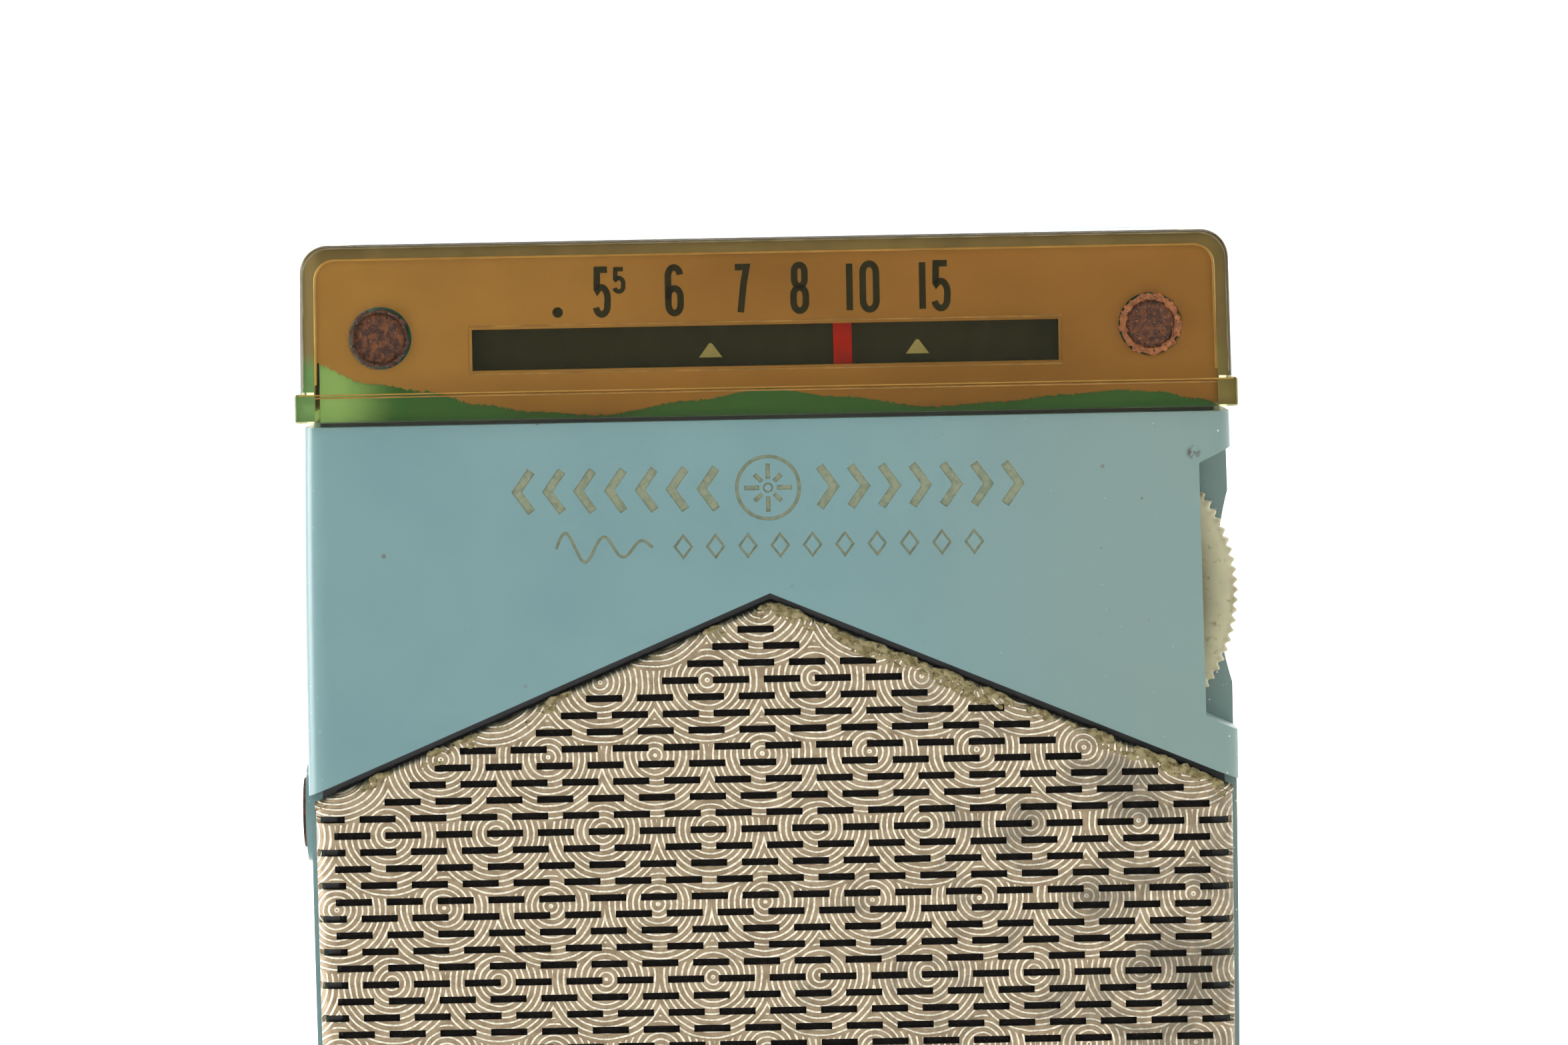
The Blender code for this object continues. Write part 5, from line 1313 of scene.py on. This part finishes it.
def grille_lip(metal):
    """The sheet's upper edge, rolled back and crumpled under the panel's edge."""
    lip_objects = []
    for side in (-1, 1):
        rings = []
        reach = half_width(96 * MM) - GRILLE_INSET
        steps = 150
        for step in range(steps + 1):
            x = side * reach * step / steps
            drop = []
            crumple = 0.16 * noise.noise((x / MM * 0.9, 2, side)) + 0.10 * noise.noise((x / MM * 2.7, 5,
                    side))
            for along, back in ((1.37, 0.0), (1.16, 0.03), (0.98, 0.12), (0.84, 0.28), (0.76, 0.50),
                                (0.74, 0.80)):
                z = chevron_z(x, -along * MM + crumple * MM * (1.40 - along))
                drop.append((x, grille_low.y + (back + crumple * 0.5 * (1.37 - along)) * MM, z))
            inside = [(px, py + 0.22 * MM, pz - 0.12 * MM) for px, py, pz in reversed(drop)]
            rings.append(drop + inside)
        bm = bmesh.new()
        lofted(bm, rings)
        lip_objects.append(object_from(bm, "lip"))
    return piece(merged("grille_rolled_edge", lip_objects), "case", metal, angle=50)


def grille_grime():
    """Dried dirt along the panel's edge and in a few spots of the grille."""
    chance = random.Random(11)
    lumps = []
    for index in range(130):
        cluster = chance.choice((-34, -27, -19, -2, 1.5, 5, 8, 13, 16, 19, 24, 29, 33, 36))
        x = (cluster + chance.gauss(0, 1.3)) * MM
        z = chevron_z(x, -(0.95 + 1.1 * chance.random() ** 2) * MM)
        size = (0.12 + 0.34 * chance.random() ** 2) * MM * (1.25 if x > 0 else 0.9)
        bm = bmesh.new()
        bmesh.ops.create_icosphere(bm, subdivisions=3, radius=size)
        bmesh.ops.scale(bm, vec=(2.4, 0.24, 0.8), verts=bm.verts)
        bmesh.ops.rotate(bm, cent=(0, 0, 0), verts=bm.verts,
                         matrix=Matrix.Rotation((-1 if x < 0 else 1) * math.atan(CHEVRON_SLOPE), 3, "Y"))
        bmesh.ops.translate(bm, vec=(x, grille_low.y + 0.04 * MM, z), verts=bm.verts)
        lump = object_from(bm, "lump")
        roughened(lump, 0.55 * MM, 0.26 * MM, index * 1.3)
        lumps.append(lump)
    return piece(merged("grille_grime", lumps), "case", grime(), angle=70)


def backing_cloth():
    outline = case_outline(2.4 * MM, 2.4 * MM, SHELL_TRIM_Z, BASE_CORNER - 2 * MM, 1 * MM)
    low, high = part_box("grille_cloth")
    cloth = plate("speaker_backing_cloth", [outline], low.y, high.y)
    cut(cloth, plate("cloth_top", [above_chevron(-0.6 * MM)], AHEAD_Y, 0.0))
    piece(cloth, "case", speaker_cloth(), ("grille_cloth",))
    return cloth


# ---------------------------------------------------------------- thumbwheels
def thumbwheel(name, body, node, low, high, centre_x, centre_z, teeth, bore):
    """Knurled wheel with a rounded rim, a dished face and a bore."""
    radius = (high.z - low.z) / 2
    rings = []
    per_tooth = 6
    wave = (0.0, 0.0, 0.55, 1.0, 1.0, 0.55)
    middle = (low.y + high.y) / 2
    half = (high.y - low.y) / 2
    section = [(bore, -0.82, 0), (bore + 1.6 * MM, -0.82, 0), (bore + 1.9 * MM, -0.66, 0),
               (radius - 3.4 * MM, -0.66, 0), (radius - 2.8 * MM, -1.0, 0), (radius - 0.75 * MM, -1.0, 0),
               (radius - 0.42 * MM, -0.95, 0.35), (radius - 0.12 * MM, -0.80, 0.9), (radius, -0.62, 1.0)]
    section += [(reach, -level, share) for reach, level, share in reversed(section)]
    for reach, level, share in section:
        ring = []
        for step in range(teeth * per_tooth):
            angle = 2 * math.pi * step / (teeth * per_tooth)
            spread = reach - wave[step % per_tooth] * share * KNURL_DEPTH
            ring.append((centre_x + spread * math.cos(angle), middle + half * level,
                         centre_z + spread * math.sin(angle)))
        rings.append(ring)
    bm = bmesh.new()
    lofted(bm, rings, closed_along=True)
    wheel = object_from(bm, name)
    return piece(wheel, body, wheel_plastic(name + "_plastic", centre_x, centre_z, radius), (node,),
                 45)


# ---------------------------------------------------------------- small parts on the board
BOARD_FACE = board_high.y


def resistor_places():
    places = []
    for z, xs in ((115.6, (-21, -9, 3, 15)), (98.3, (-20, -6.8, 6.8, 20)), (82.0, (-21, -7, 8, 21)),
                  (60.2, (-21, -7.5, 6, 22)), (45.4, (-18, -4, 10))):
        places += [(x, z) for x in xs]
    return places


def resistors():
    """Moulded carbon resistors lying on the board, with colour bands and bent leads."""
    bodies = []
    leads = []
    bands = {}
    half = 3.2 * MM
    y = BOARD_FACE + 1.45 * MM
    for index, (px, pz) in enumerate(resistor_places()):
        x = px * MM
        z = pz * MM
        profile = [(0, x - half), (0.7 * MM, x - half), (1.05 * MM, x - half + 0.25 * MM),
                   (1.15 * MM, x - half + 0.8 * MM),
                   (1.05 * MM, x - half + 1.6 * MM), (1.05 * MM, x + half - 1.6 * MM), (1.15 * MM,
                           x + half - 0.8 * MM),
                   (1.05 * MM, x + half - 0.25 * MM), (0.7 * MM, x + half), (0, x + half)]
        bodies.append(turned("body", (0, y, z), profile, 20, "X"))
        for number, offset in enumerate((-1.5, -0.7, 0.1, 1.5)):
            colour = "silver_band" if number == 3 else ("brown_band", "red_band", "orange_band",
                                                        "yellow_band",
                                                       "green_band")[(index * 3 + number * 2) % 5]
            centre = x + offset * MM
            ring = [(1.085 * MM, centre - 0.20 * MM), (1.10 * MM, centre - 0.16 * MM),
                    (1.10 * MM, centre + 0.16 * MM),
                    (1.085 * MM, centre + 0.20 * MM), (0.9 * MM, centre)]
            bands.setdefault(colour, []).append(turned("band", (0, y, z), ring, 20, "X", closed=True))
        for side in (-1, 1):
            path = [(x + side * half, y, z), (x + side * (half + 0.9 * MM), y, z),
                    (x + side * (half + 1.35 * MM), y - 0.3 * MM, z), (x + side * (half + 1.5 * MM),
                            BOARD_FACE - 0.1 * MM, z)]
            leads.append(tube("lead", smooth_path(path, 4), 0.24 * MM, 8))
    piece(merged("resistor_bodies", bodies), "case",
          moulded("carbon_brown", (0.20, 0.10, 0.05), (0.13, 0.06, 0.03)))
    piece(merged("resistor_leads", leads), "case",
          plain_metal("tinned_lead", (0.58, 0.57, 0.54), (0.40, 0.39, 0.36)))
    colours = {"brown_band": (0.10, 0.03, 0.01), "red_band": (0.50, 0.02, 0.015),
               "orange_band": (0.75, 0.18, 0.02),
               "yellow_band": (0.75, 0.55, 0.04), "green_band": (0.03, 0.22, 0.06), "silver_band": (0.55,
                       0.55, 0.53)}
    for name in sorted(bands):
        light = colours[name]
        piece(merged("resistor_" + name, bands[name]), "case",
              moulded(name + "_paint", light, tuple(c * 0.8 for c in light)))


def disc_capacitors():
    bodies = []
    leads = []
    for px, pz, tall in ((-31, 99.5, 3.0), (-16, 111.4, 3.2), (0, 111.2, 2.9), (16, 111.4, 3.2),
                         (31, 98.5, 2.8),
                         (31.0, 66.5, 3.2), (-2.0, 82.6, 2.7), (27.5, 52.5, 3.1), (-31.5, 60.5, 3.1)):
        x = px * MM
        z = pz * MM
        radius = tall * MM
        y = BOARD_FACE + 0.9 * MM + radius
        profile = [(0, x - 0.85 * MM), (radius * 0.6, x - 0.82 * MM), (radius * 0.88, x - 0.6 * MM),
                   (radius, x),
                   (radius * 0.88, x + 0.6 * MM), (radius * 0.6, x + 0.82 * MM), (0, x + 0.85 * MM)]
        bodies.append(roughened(turned("disc", (0, y, z), profile, 28, "X"), 1.5 * MM, 0.08 * MM, px))
        for side in (-1, 1):
            leads.append(tube("lead", [(x, y - radius * 0.8, z + side * 1.2 * MM),
                                       (x, y - radius * 1.05, z + side * 1.25 * MM),
                                       (x, BOARD_FACE - 0.1 * MM, z + side * 1.25 * MM)], 0.22 * MM, 8))
    piece(merged("ceramic_capacitors", bodies), "case",
          moulded("ceramic_tan", (0.60, 0.30, 0.12), (0.46, 0.22, 0.08)))
    piece(merged("ceramic_capacitor_leads", leads), "case",
          plain_metal("tinned_lead_fine", (0.58, 0.57, 0.54), (0.40, 0.39, 0.36)))


def electrolytic_cans():
    """Sleeved cans with a crimped neck and a rubber end."""
    sleeve = moulded("sleeve_blue_grey", (0.14, 0.17, 0.21), (0.09, 0.11, 0.15), (0.25, 0.4))
    rubber = moulded("end_rubber", (0.025, 0.024, 0.023), (0.015, 0.015, 0.015), (0.7, 0.85))
    for number in (1, 2):
        low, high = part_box("electrolytic_%d" % number)
        centre = (low + high) / 2
        reach = (high.z - low.z) / 2
        profile = [(0, low.x + 0.3 * MM), (reach - 0.8 * MM, low.x + 0.3 * MM),
                   (reach - 0.3 * MM, low.x + 0.1 * MM),
                   (reach, low.x + 0.5 * MM), (reach, low.x + 1.6 * MM), (reach - 0.5 * MM,
                           low.x + 2.0 * MM),
                   (reach - 0.5 * MM, low.x + 2.4 * MM), (reach, low.x + 2.8 * MM), (reach,
                           high.x - 0.5 * MM),
                   (reach - 0.4 * MM, high.x - 0.05 * MM), (reach - 1.0 * MM, high.x), (0, high.x)]
        piece(turned("capacitor_can_%d" % number, centre, profile, 40, "X"), "case", sleeve,
              ("electrolytic_%d" % number,))
        bung = [(0, low.x + 0.02 * MM), (reach - 1.0 * MM, low.x + 0.02 * MM),
                (reach - 0.9 * MM, low.x + 0.35 * MM),
                (0, low.x + 0.35 * MM)]
        piece(turned("capacitor_bung_%d" % number, centre, bung, 32, "X"), "case", rubber)


def antenna_windings():
    """A close winding of litz on its paper sleeve, in two sections."""
    low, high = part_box("antenna_coil")
    centre = (low + high) / 2
    outer = (high.z - low.z) / 2
    wire = 0.24 * MM
    former = [(outer - 1.05 * MM, low.x), (outer - 0.55 * MM, low.x), (outer - 0.55 * MM, high.x),
              (outer - 1.05 * MM, high.x)]
    sleeve = turned("antenna_sleeve", centre, former, 48, "X", closed=True)
    piece(sleeve, "case", moulded("waxed_paper", (0.52, 0.40, 0.22), (0.42, 0.31, 0.16), (0.4, 0.6)),
          ("antenna_coil",))
    turns = []
    for start, stop in ((low.x + 0.8 * MM, low.x + 15.5 * MM), (low.x + 17.0 * MM, high.x - 0.9 * MM)):
        count = int((stop - start) / (2 * wire))
        path = []
        for step in range(count * 20 + 1):
            angle = 2 * math.pi * step / 20
            along = start + (stop - start) * step / (count * 20)
            reach = outer - 0.28 * MM
            path.append((along, centre.y + reach * math.cos(angle), centre.z + reach * math.sin(angle)))
        turns.append(tube("turns", path, wire, 6))
    piece(merged("antenna_winding", turns), "case",
          banded("litz_copper", (0.56, 0.27, 0.08), (0.26, 0.11, 0.03), "X", 0.5, 0.02, 0.45))


def tuning_slugs():
    """Coloured slugs down in the tops of the shielded cans."""
    colours = {"oscillator_can": (0.50, 0.03, 0.02), "if_can_1": (0.75, 0.58, 0.06),
               "if_can_2": (0.72, 0.70, 0.62),
               "if_can_3": (0.03, 0.03, 0.03)}
    for name, light in colours.items():
        low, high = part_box(name)
        centre = (low + high) / 2
        profile = [(0, high.y - 1.15 * MM), (1.45 * MM, high.y - 1.15 * MM),
                   (1.45 * MM, high.y - 0.40 * MM), (0, high.y - 0.40 * MM)]
        slug = turned("slug_" + name, centre, profile, 28)
        cut(slug, box("slit", (centre.x - 1.1 * MM, high.y - 0.70 * MM, centre.z - 0.2 * MM),
                      (centre.x + 1.1 * MM, high.y, centre.z + 0.2 * MM)))
        piece(slug, "case", moulded("slug_paint_" + name, light, tuple(c * 0.7 for c in light)))


def hookup_wires():
    """Insulated leads: battery, loudspeaker and antenna coil."""
    sets = {
        "battery_lead_red": ((0.52, 0.03, 0.02), 0.62, [
            [(23.0, 4.0, 8.5), (27.0, 6.0, 10.0), (31.0, 11.0, 18.0), (30.5, 15.3, 28.0),
             (29.5, 15.8, 33.0),
             (27.5, 12.5, 38.0), (26.0, 9.0, 42.0), (25.5, 6.0, 43.0)]]),
        "battery_lead_black": ((0.02, 0.02, 0.02), 0.62, [
            [(23.0, 4.0, 6.8), (28.0, 6.5, 7.5), (33.5, 12.0, 17.0), (33.0, 15.3, 27.5), (32.0, 15.8, 33.0),
             (30.5, 12.5, 38.0), (29.5, 9.0, 42.5), (29.5, 6.0, 43.5)]]),
        "speaker_leads": ((0.60, 0.50, 0.10), 0.50, [
            [(-33.0, 6.0, 66.0), (-33.8, 8.2, 67.0), (-36.0, 7.2, 68.5), (-36.1, 3.0, 68.0),
             (-33.0, -3.0, 66.5), (-27.5, -9.6, 65.0)],
            [(-33.0, 6.0, 68.6), (-33.8, 8.4, 69.8), (-36.0, 7.4, 71.0), (-36.1, 3.0, 70.6),
             (-33.0, -3.0, 69.5), (-27.0, -9.6, 68.0)]]),
        "antenna_leads": ((0.24, 0.36, 0.14), 0.20, [
            [(-14.2, 7.0, 126.6), (-14.8, 7.6, 122.5), (-16.0, 8.6, 120.0), (-16.5, 6.0, 119.0)],
            [(0.8, 6.6, 127.0), (0.6, 7.6, 123.0), (-1.0, 8.2, 120.5), (-1.5, 6.0, 119.5)],
            [(6.1, 7.0, 126.6), (7.0, 7.8, 122.8), (9.0, 8.4, 120.6), (9.5, 6.0, 119.4)]]),
    }
    for name in sorted(sets):
        light, radius, routes = sets[name]
        runs = []
        for route in routes:
            path = smooth_path([tuple(c * MM for c in point) for point in route], 10)
            runs.append(tube("run", path, radius * MM, 12))
        piece(merged(name, runs), "case", moulded(name + "_jacket", light, tuple(c * 0.7 for c in light),
                                                  (0.3, 0.5)))


def battery_case():
    """Crimped can with a two-colour jacket."""
    s = Shade("battery_two_tone_jacket")
    split = s.step(s.x, battery_low.x / MM + 16.9, battery_low.x / MM + 17.1)
    base = s.blend(split, (0.035, 0.034, 0.034), (0.46, 0.05, 0.03))
    line = s.times(s.step(s.x, battery_low.x / MM + 17.2, battery_low.x / MM + 17.4),
                  s.step(s.x, battery_low.x / MM + 18.6, battery_low.x / MM + 18.4))
    base = s.blend(line, base, (0.62, 0.55, 0.40))
    end = s.step(s.x, battery_high.x / MM - 2.75, battery_high.x / MM - 2.55)
    base = s.blend(end, base, (0.60, 0.60, 0.58))
    base = s.blend(s.times(s.step(s.noise(1.4, 5), 0.50, 0.72), 0.35), base, (0.30, 0.26, 0.20))
    s.bump(s.noise(0.8, 4), 0.02)
    s.set(base, s.between(s.noise(2, 3), 0.28, 0.5), Metallic=s.times(end, 0.9))
    return s.material


# ---------------------------------------------------------------- nodes that stay
REPLACED = {"front_shell", "rear_cover", "dial_cap", "cap_rivet_left", "cap_rivet_right",
            "grille", "grille_cloth", "tuning_wheel", "volume_wheel", "antenna_coil",
            "electrolytic_1", "electrolytic_2"}


def dress_nodes():
    made = node_materials()
    for name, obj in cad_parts.items():
        if name in REPLACED:
            continue
        slot = obj.material_slots[0].material.name.split(".")[0]
        obj.material_slots[0].material = made[slot]
        obj.data.set_sharp_from_angle(angle=math.radians(35))


# ---------------------------------------------------------------- stage, lights and camera
def stage():
    """A white bowl all round, which has no visible edge from any side."""
    bm = bmesh.new()
    sides = 96
    floor, curve, top = 1.6, 0.9, 2.6
    profile = [(0.02, 0.0), (0.5, 0.0), (floor, 0.0)]
    for step in range(1, 13):
        angle = math.radians(90 * step / 12)
        profile.append((floor + curve * math.sin(angle), curve - curve * math.cos(angle)))
    profile.append((floor + curve, top))
    rings = []
    for radius, z in profile:
        ring = []
        for step in range(sides):
            angle = 2 * math.pi * step / sides
            ring.append((radius * math.cos(angle), radius * math.sin(angle), z - 0.0004))
        rings.append(ring)
    lofted(bm, rings, cap_ends=False)
    bm.verts.ensure_lookup_table()
    bm.faces.new([bm.verts[index] for index in range(sides)])
    sweep = smooth(object_from(bm, "studio_sweep"), 60)
    for face in sweep.data.polygons:
        if face.normal.z < -0.1:
            sweep.data.flip_normals()
            break
    sweep.data.materials.append(stage_white())


def area_light(name, place, target, width, height, power, colour=(1, 1, 1)):
    light = bpy.data.lights.new(name, "AREA")
    light.shape = "RECTANGLE"
    light.size = width
    light.size_y = height
    light.energy = power
    light.color = colour
    lamp = bpy.data.objects.new(name, light)
    lamp.location = place
    lamp.rotation_euler = (Vector(target) - Vector(place)).to_track_quat("-Z", "Y").to_euler()
    bpy.context.scene.collection.objects.link(lamp)


def lights():
    world = bpy.data.worlds.new("studio")
    world.use_nodes = True
    world.node_tree.nodes["Background"].inputs["Color"].default_value = (1.0, 1.0, 1.0, 1)
    world.node_tree.nodes["Background"].inputs["Strength"].default_value = 0.29
    bpy.context.scene.world = world
    middle = (0, 0, 0.08)
    area_light("key", (-0.9, -1.0, 1.15), middle, 0.8, 0.8, 4.55)
    area_light("fill", (1.2, -1.1, 0.5), middle, 0.9, 0.9, 1.0)
    area_light("overhead", (0, 0.1, 2.2), middle, 2.4, 2.4, 11)
    area_light("left_edge", (-1.3, 0.35, 0.25), middle, 0.7, 1.0, 13.0)
    area_light("back_wash", (0, 0.7, 1.9), (0, 2.3, 0.5), 2.4, 0.8, 60)


CAMERA_DISTANCE = 0.6
FRAME_WIDTH = 0.1333            # width of the view at the case's front
VIEW_X = 0.0013
VIEW_Z = 0.1177
CAMERA_Z = 0.147
CAMERA_ROLL = math.radians(-1.1)


def camera():
    data = bpy.data.cameras.new("camera")
    data.sensor_width = 36
    place = Vector((VIEW_X, PANEL_FRONT_Y - CAMERA_DISTANCE, CAMERA_Z))
    target = Vector((VIEW_X, PANEL_FRONT_Y, VIEW_Z))
    data.lens = 36 * (target - place).length / FRAME_WIDTH
    obj = bpy.data.objects.new("camera", data)
    obj.location = place
    turn = (target - place).to_track_quat("-Z", "Y").to_matrix() @ Matrix.Rotation(CAMERA_ROLL, 3, "Z")
    obj.rotation_euler = turn.to_euler()
    bpy.context.scene.collection.objects.link(obj)
    bpy.context.scene.camera = obj
    bpy.context.scene.view_settings.view_transform = "Standard"


def main():
    camera()
    stage()
    lights()
    dress_nodes()
    plastic = blue_plastic()
    front_shell(plastic)
    inlay = ornament(PANEL_FRONT_Y + 0.10 * MM, PANEL_FRONT_Y + ORNAMENT_DEPTH - 0.01 * MM,
                     "ornament_inlay")
    piece(inlay, "case", ornament_paint())
    rear_cover(plastic)
    clear_cap_piece()
    painted_skin()
    cap_edges()
    dial_numbers()
    dial_marks()
    rivets()
    metal = grille_metal()
    grille_sheet(metal)
    grille_lip(metal)
    grille_grime()
    backing_cloth()
    thumbwheel("tuning_thumbwheel", "tuning", "tuning_wheel", wheel_low, wheel_high,
               TUNING_X, TUNING_Z, 100, 2.7 * MM)
    thumbwheel("volume_thumbwheel", "volume", "volume_wheel", volume_low, volume_high,
               VOLUME_X, VOLUME_Z, 66, 2.3 * MM)
    resistors()
    disc_capacitors()
    electrolytic_cans()
    antenna_windings()
    tuning_slugs()
    hookup_wires()
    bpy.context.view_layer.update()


main()
